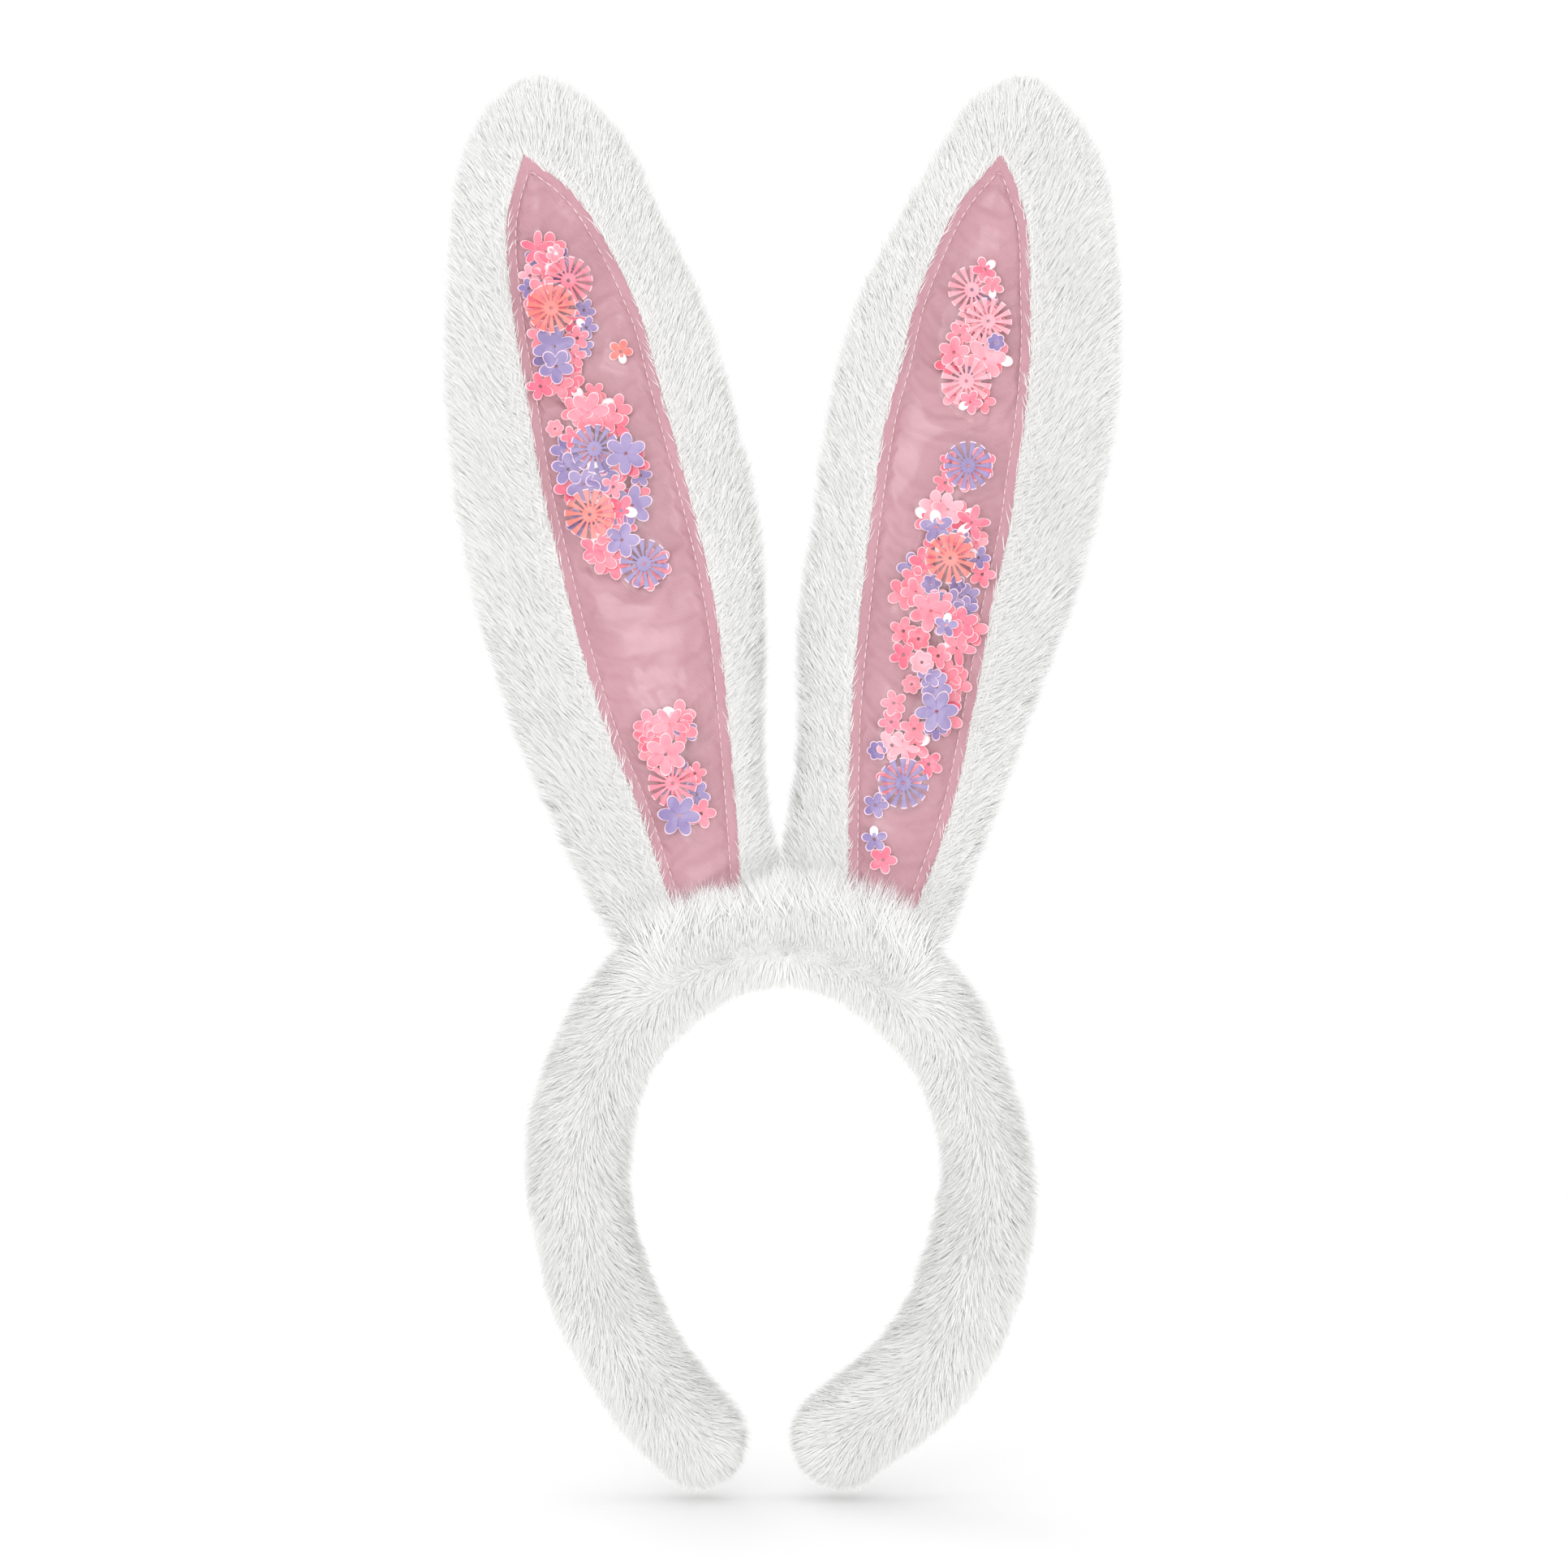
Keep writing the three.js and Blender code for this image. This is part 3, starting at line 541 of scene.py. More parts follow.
def build_hoop(side, name):
    points, triangles, centre, tangent = hoop_half(side)
    backing = make_object(f"hoop_sleeve_{name}", points * MM, triangles, [PLUSH_BACKING])
    skin = scatter(points, triangles, vertex_normals(points, triangles), DENSITY)
    pile = pile_objects(f"hoop_pile_{name}", hoop_pile(*skin, centre, tangent), lambda p: p)
    upper = np.abs(centre[:HOOP_STATIONS // 4, 0])
    at = np.abs(upper - SHOULDER_X).argmin()
    for piece in [backing, *pile]:
        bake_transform(piece)
    nodes = [f"plush_sleeve_{name}", f"wadding_{name}"]
    if side < 0:
        nodes += ["plush_sleeve_crown", "wadding_crown"]
    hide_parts(*nodes)


# ---- Ears ----
EAR_LEAN = math.radians(9.7)
EAR_BASE_Z = 30
EAR_TIP_HEIGHT = 250
EAR_INSET = 1.5  # of the plush's backing inside the outline below
EAR_PILE = 6.8
EAR_LEAN_ANGLE = 0.78
EAR_HALF_DEPTH = 7.4
SEAM_NEAR = 10  # from the satin, where the pile is combed off it
STRAYS = 0.12  # of the pile near the satin, which lies over its edge
EDGE_ROUNDING = 17  # mm from the edge over which an ear fills out
# Outlines are [height along the ear, distance from its axis]; across is positive outward.
EARS = {
    "left": {
        "side": -1, "base_x": -32.5, "crease": 153.5,
        "outer": [[-18, 19], [20, 30.5], [60, 39.8], [100, 44.8], [140, 44.8], [175, 40.5],
                  [205, 33.8], [230, 26], [245, 15]],
        "inner": [[-4, 31], [16, 29.4], [40, 31.5], [75, 37.8], [105, 41.3], [140, 40], [175, 36],
                  [205, 27.5], [228, 21], [242, 12]],
        "satin_tip": [230, 8.4],
        "satin_outer": [[-6, 2.6], [28, 7.9], [50, 12.9], [80, 16.9], [105, 18.8], [129, 20.3],
                        [157, 20.1], [181, 20], [210, 17.1]],
        "satin_inner": [[-6, -19.3], [32, -22.9], [53, -24.6], [73, -26], [91, -26],
                        [113, -24.7], [153, -20.8], [174, -18.8], [200, -11.6], [215, -4.9]],
    },
    "right": {
        "side": 1, "base_x": 32, "crease": 141.5,
        "outer": [[-18, 18], [20, 25.5], [60, 32.5], [100, 40], [140, 43.2], [175, 41.2],
                  [205, 34.5], [230, 25.5], [245, 11.5]],
        "inner": [[-4, 31.5], [16, 31.2], [40, 32.5], [75, 38.4], [105, 39.4], [140, 40.3], [175, 37.3],
                  [205, 28], [228, 19.5], [242, 13]],
        "satin_tip": [228, -3.7],
        "satin_outer": [[-6, 9.6], [28, 15.5], [59, 16.7], [90, 17], [117, 18.2], [129, 17.7],
                        [146, 17.4], [168, 15.7], [188, 12.2], [207, 8.1], [220, 2]],
        "satin_inner": [[-6, -11.4], [30, -17.2], [52, -20.3], [84, -22.8], [125, -24.8],
                        [145, -24.7], [158, -23.3], [178, -22.1], [194, -18.9], [210, -14.1]],
    },
}
SATIN_LIFT = 0.5  # of the satin off the plush's backing
STITCH_INSET = 3.0
STITCH_LENGTH = 2.4
STITCH_PITCH = 2.9
STITCH_RADIUS = 0.22
FILM_INSET = 2.2
PANEL_ROWS = 230
PANEL_COLUMNS = 46
SATIN_EXCESS = 0.03  # share by which the satin is cut larger than its place
SATIN_CLOTH = {
    "quality": 6, "mass": 0.15, "tension_stiffness": 15, "compression_stiffness": 15,
    "shear_stiffness": 4, "bending_stiffness": 0.08, "use_internal_springs": False,
    "shrink_min": -SATIN_EXCESS, "shrink_max": -SATIN_EXCESS, "vertex_group_mass": "held",
}
SATIN_FRAMES = 16
SATIN_LIMIT = 2.2  # mm that a point may move as the satin crumples
TENT_REACH = 4.5  # mm over which the window comes down from a sequin
TENT_SKIP = 3


def across_at(lines, heights):
    """Where lines of places across and along an ear lie at some heights."""
    return [np.interp(heights, line[:, 1], line[:, 0]) for line in lines]


class Ear:
    """One ear's shape in its own frame: x across, y through, z along, in mm."""

    def __init__(self, key):
        self.key = key
        self.rows = EARS[key]
        self.side = self.rows["side"]
        self.angle = self.side * EAR_LEAN
        outline = [[self.side * w, h] for h, w in self.rows["outer"]]
        outline.append([0, EAR_TIP_HEIGHT])
        outline += [[-self.side * w, h] for h, w in self.rows["inner"][::-1]]
        ring = catmull_rom(outline, 401)
        way = unit(np.gradient(ring, axis=0))
        normal = np.stack([way[:, 1], -way[:, 0]], 1) * (1 if self.side < 0 else -1)
        ring = ring + normal * EAR_INSET
        tip = ring[:, 1].argmax()
        self.outer, self.inner = ring[:tip + 1], ring[tip:][::-1]
        self.build_shell()

    def place(self, points):
        """Points in the ear's frame, in mm, to the object's frame, in mm."""
        x, y, z = points.T
        s, c = math.sin(self.angle), math.cos(self.angle)
        return np.stack([self.rows["base_x"] + c * x + s * z, y, EAR_BASE_Z - s * x + c * z], 1)

    def build_shell(self):
        rows, columns = 150, 72
        share = np.linspace(0, 1, rows) ** 0.9
        share[-1] = 0.9985

        def edge(line):
            at = np.linspace(0, 1, len(line))
            return np.stack([np.interp(share, at, line[:, k]) for k in range(2)], 1)

        outer, inner = edge(self.outer), edge(self.inner)
        middle, half = (outer + inner) / 2, (outer - inner) / 2
        width = np.linalg.norm(half, axis=1)
        turn = np.linspace(0, 2 * math.pi, columns, endpoint=False)
        across = np.sign(np.cos(turn)) * np.abs(np.cos(turn)) ** 0.85
        through = np.sign(np.sin(turn)) * np.abs(np.sin(turn)) ** 0.75
        fill = np.minimum(width / EDGE_ROUNDING, 1)
        depth = EAR_HALF_DEPTH * np.sqrt(np.clip(fill * (2 - fill), 0, 1))
        base = np.clip((middle[:, 1] + 12) / 34, 0, 1)
        depth = depth * (0.62 + 0.38 * base * (2 - base))
        plane = middle[:, None] + half[:, None] * across[None, :, None]
        y = -depth[:, None] * through[None]
        points = np.stack([plane[..., 0], y, plane[..., 1]], 2).reshape(-1, 3)
        soft = 0.45 * ripple(points, 42, 31) * (np.abs(points[:, 1]) / EAR_HALF_DEPTH)
        points[:, 1] += soft
        ring = np.arange(columns)
        after = (ring + 1) % columns
        count = len(points)
        last = count - columns
        triangles = np.vstack([
            grid_triangles(rows, columns, closed=True),
            np.stack([after, ring, np.full(columns, count)], 1),
            np.stack([last + ring, last + after, np.full(columns, count + 1)], 1),
        ])
        points = np.vstack([points, points[:columns].mean(0), points[-columns:].mean(0)])
        self.triangles = outward_faces(points, triangles, np.array([0, 0, 120.0]))
        self.points = points
        self.normals = vertex_normals(points, self.triangles)
        self.front = BVHTree.FromPolygons(points.tolist(), self.triangles.tolist())

    def front_y(self, across_height):
        """y of the front of the backing at places across the ear and along it."""
        out = np.empty(len(across_height))
        for i, (x, z) in enumerate(across_height):
            hit = self.front.ray_cast(Vector((x, -60, z)), Vector((0, 1, 0)))[0]
            out[i] = hit.y if hit else 0.0
        return out

    def satin_edges(self, inset):
        """The satin's outer and inner edge, drawn in, foot to tip, and where they meet."""
        tip = self.rows["satin_tip"]
        edges = []
        for rows, sign in ((self.rows["satin_outer"], 1), (self.rows["satin_inner"], -1)):
            line = catmull_rom([[a, h] for h, a in [*rows, tip]], 260)
            way = unit(np.gradient(line, axis=0))
            edges.append(line + np.stack([-way[:, 1], way[:, 0]], 1) * inset * sign)
        heights = np.linspace(edges[0][0, 1], tip[0], 2000)
        outer, inner = across_at(edges, heights)
        closed = heights[outer - inner <= 0.02]
        return edges, closed[0] if len(closed) else tip[0]

    def satin_grid(self, inset):
        """A grid of places over the satin, inset from its edge, and how far in each one is."""
        edges, top = self.satin_edges(inset)
        foot = edges[0][0, 1]
        heights = foot + (top - foot) * np.linspace(0, 1, PANEL_ROWS) ** 0.93
        outer, inner = across_at(edges, heights)
        wide = np.maximum(outer - inner, 0.01)[:, None]
        share = np.linspace(0, 1, PANEL_COLUMNS)
        across = self.side * (inner[:, None] + wide * share)
        flat = np.dstack([across, np.repeat(heights[:, None], PANEL_COLUMNS, 1)])
        room = np.minimum(share, 1 - share) * wide
        room = np.minimum(room, (top - heights)[:, None] * 0.7)
        return flat.reshape(-1, 2), room.ravel()

    def sheet_faces(self):
        """Triangles over such a grid, facing forward."""
        faces = grid_triangles(PANEL_ROWS, PANEL_COLUMNS)
        return faces if self.side > 0 else faces[:, ::-1]

    def in_satin(self, points, inset):
        edges, top = self.satin_edges(inset)
        outer, inner = across_at(edges, points[:, 2])
        across = points[:, 0] * self.side
        return ((across < outer) & (across > inner)
                & (points[:, 2] > edges[0][0, 1]) & (points[:, 2] < top))

    def from_satin(self, points):
        """Which way is away from the satin, as -1 or 1 across the ear, and how far off it is."""
        edges, top = self.satin_edges(0)
        outer, inner = across_at(edges, points[:, 2])
        across = points[:, 0] * self.side
        above = np.clip((points[:, 2] - top + 4) / 10, 0, 1)
        way = np.tanh((across - (inner + outer) / 2) / (1 + 14 * above))
        gap = np.maximum(np.maximum(across - outer, inner - across), 0)
        return way * self.side, gap + above * SEAM_NEAR

    def blend(self, piece):
        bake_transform(piece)

    def halves(self, *parts):
        """The CAD nodes of parts that are cut in two at the crease."""
        return [f"{part}_{half}_{self.key}" for part in parts for half in ("lower", "upper")]

    def take(self, piece, slot, *nodes):
        """The piece's transform is baked in and the CAD nodes that it stands for are hidden."""
        self.blend(piece)
        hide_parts(*nodes)


def build_plush(ear):
    backing = make_object(f"ear_plush_{ear.key}", ear.place(ear.points) * MM,
                          ear.triangles, [PLUSH_BACKING])
    roots, normals = scatter(ear.points, ear.triangles, ear.normals, DENSITY)
    front = normals[:, 1] < 0
    keep = ~(front & ear.in_satin(roots, 0.6))
    roots, normals, front = roots[keep], normals[keep], front[keep]
    away, gap = ear.from_satin(roots)
    near = front * np.clip(1 - gap / SEAM_NEAR, 0, 1) * (rng.random(len(roots)) > STRAYS)
    across = np.where(front, away * 0.3, np.sign(roots[:, 0]) * 0.2) + 0.55 * near * away
    over = front & (near == 0) & (gap < SEAM_NEAR / 2)
    across = np.where(over, -0.3 * away, across)
    comb = np.stack([across, np.zeros_like(across), np.full_like(across, 0.85)], 1)
    length = EAR_PILE * (1 - 0.3 * near)
    grown = strands(roots, normals, comb, length, EAR_LEAN_ANGLE)
    for piece in pile_objects(f"ear_pile_{ear.key}", grown, ear.place):
        ear.blend(piece)
    ear.take(backing, "plush", *ear.halves("plush_back", "plush_front", "batting"))


def panel_rest(ear, flat, room):
    """y of the cut satin before it crumples: over the ear, drawn in at the stitching."""
    y = ear.front_y(flat) - SATIN_LIFT
    spots = at_depth(flat, 0)
    inside = np.clip((room - STITCH_INSET) / 9, 0, 1)
    seam = np.exp(-((room - STITCH_INSET) / 1.0) ** 2)
    pucker = np.exp(-np.abs(room - STITCH_INSET) / 5.0)
    slant = np.sign(flat[:, 0]) * flat[:, 0] * 0.5
    y -= 0.9 * inside * (2 - inside)
    y += 0.4 * seam
    y += 0.15 * pucker * np.sin((flat[:, 1] - slant) * 0.85 + 1.8 * ripple(spots, 30, 41))
    y += 0.4 * inside * ripple(spots * [1, 1, 0.8], 34, 43, 2)
    return y


def crumple(points, triangles, held, limit):
    """A cloth simulation of a sheet cut a little too long, held where held is true."""
    sheet = make_object("sheet_at_work", points * MM, triangles, [])
    group = sheet.vertex_groups.new(name="held")
    group.add(np.nonzero(held)[0].tolist(), 1.0, "REPLACE")
    cloth = sheet.modifiers.new("cloth", "CLOTH")
    for key, value in SATIN_CLOTH.items():
        setattr(cloth.settings, key, value)
    cloth.settings.effector_weights.gravity = 0
    cloth.collision_settings.use_self_collision = False
    scene = bpy.context.scene
    for number in range(1, SATIN_FRAMES + 1):
        scene.frame_set(number)
    settled = sheet.evaluated_get(bpy.context.evaluated_depsgraph_get()).to_mesh()
    result = np.empty(len(points) * 3, np.float32)
    settled.vertices.foreach_get("co", result)
    result = result.reshape(-1, 3) / MM
    scene.frame_set(1)
    bpy.data.objects.remove(sheet, do_unlink=True)
    moved = result - points
    far = np.linalg.norm(moved, axis=1, keepdims=True)
    return points + moved * np.minimum(1, limit / np.maximum(far, 1e-6))


class Panel:
    """The satin of one ear after it has crumpled, to be built on by what is sewn over it."""

    def __init__(self, ear):
        self.flat, room = ear.satin_grid(0)
        self.triangles = ear.sheet_faces()
        self.points = at_depth(self.flat, panel_rest(ear, self.flat, room))
        foot = self.flat[:, 1] < self.flat[:, 1].min() + 3
        held = (room < STITCH_INSET + 0.2) | foot
        points = crumple(self.points, self.triangles, held, SATIN_LIMIT)
        back = ear.front_y(points[:, ::2]) - SATIN_LIFT / 2
        points[:, 1] = np.minimum(points[:, 1], back)
        self.points = points
        grid = self.flat.reshape(PANEL_ROWS, PANEL_COLUMNS, 2)
        self.heights, self.first, self.last = grid[:, 0, 1], grid[:, 0, 0], grid[:, -1, 0]
        self.depth = self.points[:, 1].reshape(PANEL_ROWS, PANEL_COLUMNS)

    def y(self, flat):
        """y of the satin's face at places across the ear and along it."""
        row = np.interp(flat[:, 1], self.heights, np.arange(PANEL_ROWS))
        first = np.interp(row, np.arange(PANEL_ROWS), self.first)
        last = np.interp(row, np.arange(PANEL_ROWS), self.last)
        wide = np.where(np.abs(last - first) < 0.1, 0.1, last - first)
        column = np.clip((flat[:, 0] - first) / wide, 0, 1) * (PANEL_COLUMNS - 1)
        r = np.clip(np.floor(row).astype(int), 0, PANEL_ROWS - 2)
        c = np.clip(np.floor(column).astype(int), 0, PANEL_COLUMNS - 2)
        u, v = row - r, column - c
        d = self.depth
        return ((1 - u) * ((1 - v) * d[r, c] + v * d[r, c + 1])
                + u * ((1 - v) * d[r + 1, c] + v * d[r + 1, c + 1]))


def build_satin(ear, panel):
    satin = make_object(f"satin_panel_{ear.key}", ear.place(panel.points) * MM,
                        panel.triangles, [SATIN])
    ear.take(satin, "satin", *ear.halves("satin"))


def smoothed(grid, own, times):
    """A grid of depths, each drawn to its four neighbours; own is its own weight."""
    grid = grid.copy()
    for _ in range(times):
        around = grid[:-2, 1:-1] + grid[2:, 1:-1] + grid[1:-1, :-2] + grid[1:-1, 2:]
        grid[1:-1, 1:-1] = (grid[1:-1, 1:-1] * own + around) / (own + 4)
    return grid.ravel()


def tent(panel, flat, flowers):
    """How far the window must stand off the satin to clear the sequins, and drape off them."""
    lift = np.zeros(len(flat))
    ground = panel.y(flowers[:, ::2])
    height = ground - flowers[:, 1]
    order = np.argsort(height)[::-1][:: TENT_SKIP]
    for x, z, up in np.column_stack([flowers[order][:, ::2], height[order]]):
        near = np.nonzero((np.abs(flat[:, 0] - x) < TENT_REACH)
                          & (np.abs(flat[:, 1] - z) < TENT_REACH))[0]
        away = np.hypot(flat[near, 0] - x, flat[near, 1] - z)
        slope = (up + 0.1) * np.clip(1.3 - away / TENT_REACH, 0, 1)
        lift[near] = np.maximum(lift[near], slope)
    return lift


def build_window(ear, panel, flowers):
    flat, room = ear.satin_grid(FILM_INSET)
    grid = (PANEL_ROWS, PANEL_COLUMNS)
    peak = tent(panel, flat, flowers)
    lift = np.maximum(smoothed(peak.reshape(grid), 2, 4), peak)
    inside = np.clip((room - 1.2) / 6, 0, 1)
    inside = inside * (2 - inside)
    loose = np.maximum(0.5 + 0.35 * ripple(at_depth(flat, 0), 26, 53, 2), 0.15)
    ground = panel.y(flat)
    level = smoothed(ground.reshape(grid), 0, 12)
    y = np.minimum(level - inside * loose, ground) - 0.12 - inside * lift
    window = make_object(f"clear_window_{ear.key}", ear.place(at_depth(flat, y)) * MM,
                         ear.sheet_faces(), [FILM])
    ear.take(window, "window_film", *ear.halves("window"))


def build_stitches(ear, panel):
    """One row of separate stitches inside the satin's edge, up one side and down the other."""
    (outer, inner), top = ear.satin_edges(STITCH_INSET)
    run = np.vstack([outer[outer[:, 1] < top - 0.4], inner[inner[:, 1] < top - 0.4][::-1]])
    along = length_along(run)
    starts = np.arange(0.5, along[-1] - STITCH_LENGTH, STITCH_PITCH)
    sides, stations = 6, 5
    share = np.linspace(0, 1, stations)
    turn = np.linspace(0, 2 * math.pi, sides, endpoint=False)
    rings = []
    for start in starts:
        at = start + STITCH_LENGTH * share
        line = np.stack([np.interp(at, along, run[:, k]) for k in (0, 1)], 1)
        way = unit(line[-1:] - line[:1])
        cross = np.array([[-way[0, 1], way[0, 0]]])
        thick = STITCH_RADIUS * (0.35 + 0.65 * np.sin(math.pi * share) ** 0.5)
        arch = 0.26 * np.sin(math.pi * share) - 0.12
        flat = line[:, None] + cross[None] * (np.cos(turn)[None, :, None] * thick[:, None, None])
        lift = arch[:, None] + np.sin(turn)[None] * thick[:, None]
        rings.append(np.dstack([flat, lift]).reshape(-1, 3))
    stacked = np.vstack(rings)
    flat = np.stack([ear.side * stacked[:, 0], stacked[:, 1]], 1)
    points = at_depth(flat, panel.y(flat) - 0.25 - stacked[:, 2])
    last = (stations - 1) * sides
    ends = [[0, k + 1, k] for k in range(1, sides - 1)]
    ends += [[last, last + k, last + k + 1] for k in range(1, sides - 1)]
    one = np.vstack([grid_triangles(stations, sides, closed=True), ends])
    faces = (one[None] + stations * sides * np.arange(len(starts))[:, None, None]).reshape(-1, 3)
    stitches = make_object(f"topstitching_{ear.key}", ear.place(points) * MM,
                           faces[:, ::ear.side], [THREAD])
    ear.take(stitches, "thread", *ear.halves("topstitch"))


# ---- Sequins ----
# Each sequin's kind, height along the ear, distance across it (positive outward), radius and
# colour. The first of two that overlap lies underneath.
SEQUINS = {
    "left": """
      petal5 194.5 7 5 pink, small 192.4 12.6 3.2 pale, small 188.5 13.6 3 violet,
      petal5 186.5 9.5 5 pink, cup 197.6 3.8 3 pale, long5 200.1 8.9 5.6 hot,
      wheel 188.7 1.2 7.4 pink, petal5 183 11 4.8 pink, small 179.4 -1.8 3.3 violet,
      small 176.2 1.6 3.4 hot, small 174 -1.6 3.3 violet, small 171.2 1.6 3.4 pink,
      small 168.2 0.4 3.1 violet, petal5 173.5 12 4.6 pink, small 165.8 3.4 3.4 pink,
      wheel 181.2 7.8 7.6 coral, petal6 169.7 9 6.8 violet, petal5 158.4 9.8 4.6 pink,
      small 158.6 15.2 3.9 hot, petal5 163.6 9.4 5.2 violet, small 165.1 -10.7 3.4 coral,
      small 153.6 -0.6 3.4 pink, petal5 145.5 -3.4 4.6 pink, petal6 148 2.1 6.6 pink,
      cup 145.1 13 2.9 pale, petal5 137.8 10.6 4.8 violet, petal5 132 11 5 violet,
      small 141.4 8.2 3.2 hot, petal5 128.6 1.2 5.2 violet, small 124.4 -1.6 3.4 pink,
      petal5 126.6 7.4 5.2 violet, wheel 136.8 2 7.5 violet, petal6 133.7 -7.1 6.6 violet,
      small 126.6 -10.4 3.2 violet, petal5 111.2 2.2 4.6 pink, petal6 117.9 -6.2 6.6 violet,
      wheel 117.3 6.8 7.8 coral, small 112.4 -3.4 3.2 hot, petal5 108 -1.5 5.2 violet,
      petal5 103.7 5.4 4.8 pink, wheel 99.8 -6.9 7.6 violet""",
    "right": """
      small 131.6 -3.2 3.2 hot, small 125.4 -3.7 3.4 pink, wheel 131.6 2.3 7.5 violet,
      petal5 117.4 -1.6 4.8 pale, petal5 111.6 -4 5 violet, small 109 8.6 3.4 pale,
      long5 114.6 6.4 5.8 hot, small 108.6 3.4 3.4 violet, small 104.6 10.2 3.3 violet,
      petal5 100.4 -6.2 4.4 hot, wheel 102.8 1.7 7.8 coral, small 99.8 12.2 3.7 pink,
      petal5 94.6 -8.2 4.2 pink, small 92.6 9 3.4 violet, cup 95.4 5 3 violet,
      petal5 90.8 -7 4.4 pink, cup 94.1 -2.7 3.3 violet, petal5 89.4 3.8 4.4 violet,
      petal6 86 -1.5 6.8 pink, small 88.4 8.8 3.6 violet, petal5 83.9 8.5 4.8 hot,
      small 82.4 3.8 3.4 violet, petal5 78.6 -8.6 4.2 pink, long5 76.3 8.4 6 pink,
      cup 77 -3.7 3.8 pink, petal5 71.4 -7.4 4.2 hot, small 72.8 3 3.6 pink, cup 70 -1.6 3.8 pale,
      petal5 68.2 7.4 4.4 pink, small 66.2 1.4 3.4 violet, cup 63 -3.4 3.2 pale,
      petal5 63.4 4.1 4.6 violet, petal6 56 5.4 6.8 violet, petal5 56.4 -7.8 3.9 pink,
      petal5 49.6 -0.4 4.3 pink, small 51 6 3.4 violet, small 50.6 -7.6 3.6 hot,
      long5 43.4 -2.6 5.2 pale, petal5 39.8 5.9 4.2 hot, cup 41.3 -10.4 3.2 violet,
      wheel 32.8 -0.8 7.8 violet, small 24.7 -8 3.6 violet, small 14.4 -6.6 3.6 violet,
      petal5 8.6 -3 4.2 hot""",
}
LOOSE_SEQUINS = {
    "left": """
      small 47 -10.8 3.4 violet, small 34 -11.4 3.2 pink, petal5 27.6 -10.8 4.2 violet,
      petal5 21.6 -11.2 4.4 pink, petal5 50.6 -0.5 5 pink, long5 50 -6.3 5.8 pink,
      small 45.6 0.4 3.3 hot, wheel 32.2 -4.2 7.5 pink, petal6 41.2 -3.7 6.6 pink,
      petal6 22.1 -4.5 6.7 violet""",
    "right": """
      wheel 184.9 -5.6 7.3 pale, small 191.6 -2.8 3.5 hot, small 186.8 0.4 3.2 pink,
      wheel 174.4 -1.7 7.2 pale, wheel 176.2 1 7.2 pale, small 170.6 -7 3.7 pink,
      petal5 165 -7.8 4.6 pink, petal5 152.6 -5.4 4.2 pale, small 152 3.4 3.6 pink,
      petal6 164.7 1.8 6.7 pale, cup 170.1 4.3 3 violet, wheel 157 -2.6 7.7 pale,
      small 150.8 -0.4 3.4 hot""",
}
SEQUIN_LAYER = 0.36
WHEEL_STEP = 2.6  # layers between a flat wheel and the cupped flowers under it
MOST_LAYERS = 12
SEQUIN_THICKNESS = 0.16
# width of the band round each petal that is painted paler as an edge highlight
SEQUIN_HIGHLIGHT_RIM = 0.34
HOLE_RADIUS = 0.55
TRAVEL_STEPS = 5
# share of flowers that get one petal painted near white as a glint
PAINTED_GLINT_CHANCE = 0.17
SEQUIN_SCALE = {"small": 1.16, "petal5": 1.08}
PETALS = {  # number, middle, half length and half width, as shares of the radius
    "petal6": (6, 0.60, 0.40, 0.285), "petal5": (5, 0.58, 0.42, 0.33),
    "long5": (5, 0.56, 0.44, 0.235), "small": (5, 0.60, 0.40, 0.33), "cup": (6, 0.55, 0.45, 0.40),
}
WHEEL_RAYS = 14
WHEEL_HUB = 0.33  # of the radius, where the slots end
WHEEL_RAY_FOOT = 0.46  # of the pitch, what a ray takes at the hub and at its end
WHEEL_RAY_END = 0.56


def sequin_outline(kind, radius):
    """The angle and distance of each point round a sequin's edge, and which petal it is on."""
    if kind == "wheel":
        hub = radius * WHEEL_HUB
        pitch = 2 * math.pi / WHEEL_RAYS
        narrow, wide = WHEEL_RAY_FOOT * pitch / 2, WHEEL_RAY_END * pitch / 2
        ray = [(-pitch / 2 + 0.02, hub * 0.94), (-narrow, hub), (-wide, radius),
               (-wide / 3, radius * 1.005), (wide / 3, radius * 1.005), (wide, radius),
               (narrow, hub), (pitch / 2 - 0.02, hub * 0.94)]
        turn = np.array([k * pitch + t for k in range(WHEEL_RAYS) for t, _ in ray])
        return turn, np.tile([r for _, r in ray], WHEEL_RAYS), np.repeat(
            np.arange(WHEEL_RAYS), len(ray))
    petals, middle, long, wide = PETALS[kind]
    share = np.array([-0.98, -0.8, -0.62, -0.42, -0.2, 0, 0.2, 0.42, 0.62, 0.8])
    local = share * math.pi / petals
    # Where a ray at this angle leaves the petal's ellipse.
    qa = (np.cos(local) / long) ** 2 + (np.sin(local) / wide) ** 2
    qb = -2 * middle * np.cos(local) / long ** 2
    qc = (middle / long) ** 2 - 1
    inside = np.maximum(qb ** 2 - 4 * qa * qc, 0)
    reach = np.where(qb ** 2 > 4 * qa * qc, (-qb + np.sqrt(inside)) / (2 * qa), 0.30)
    turn = np.concatenate([local + k * 2 * math.pi / petals for k in range(petals)])
    return turn, np.tile(np.maximum(reach, 0.30), petals) * radius, np.repeat(
        np.arange(petals), len(local))


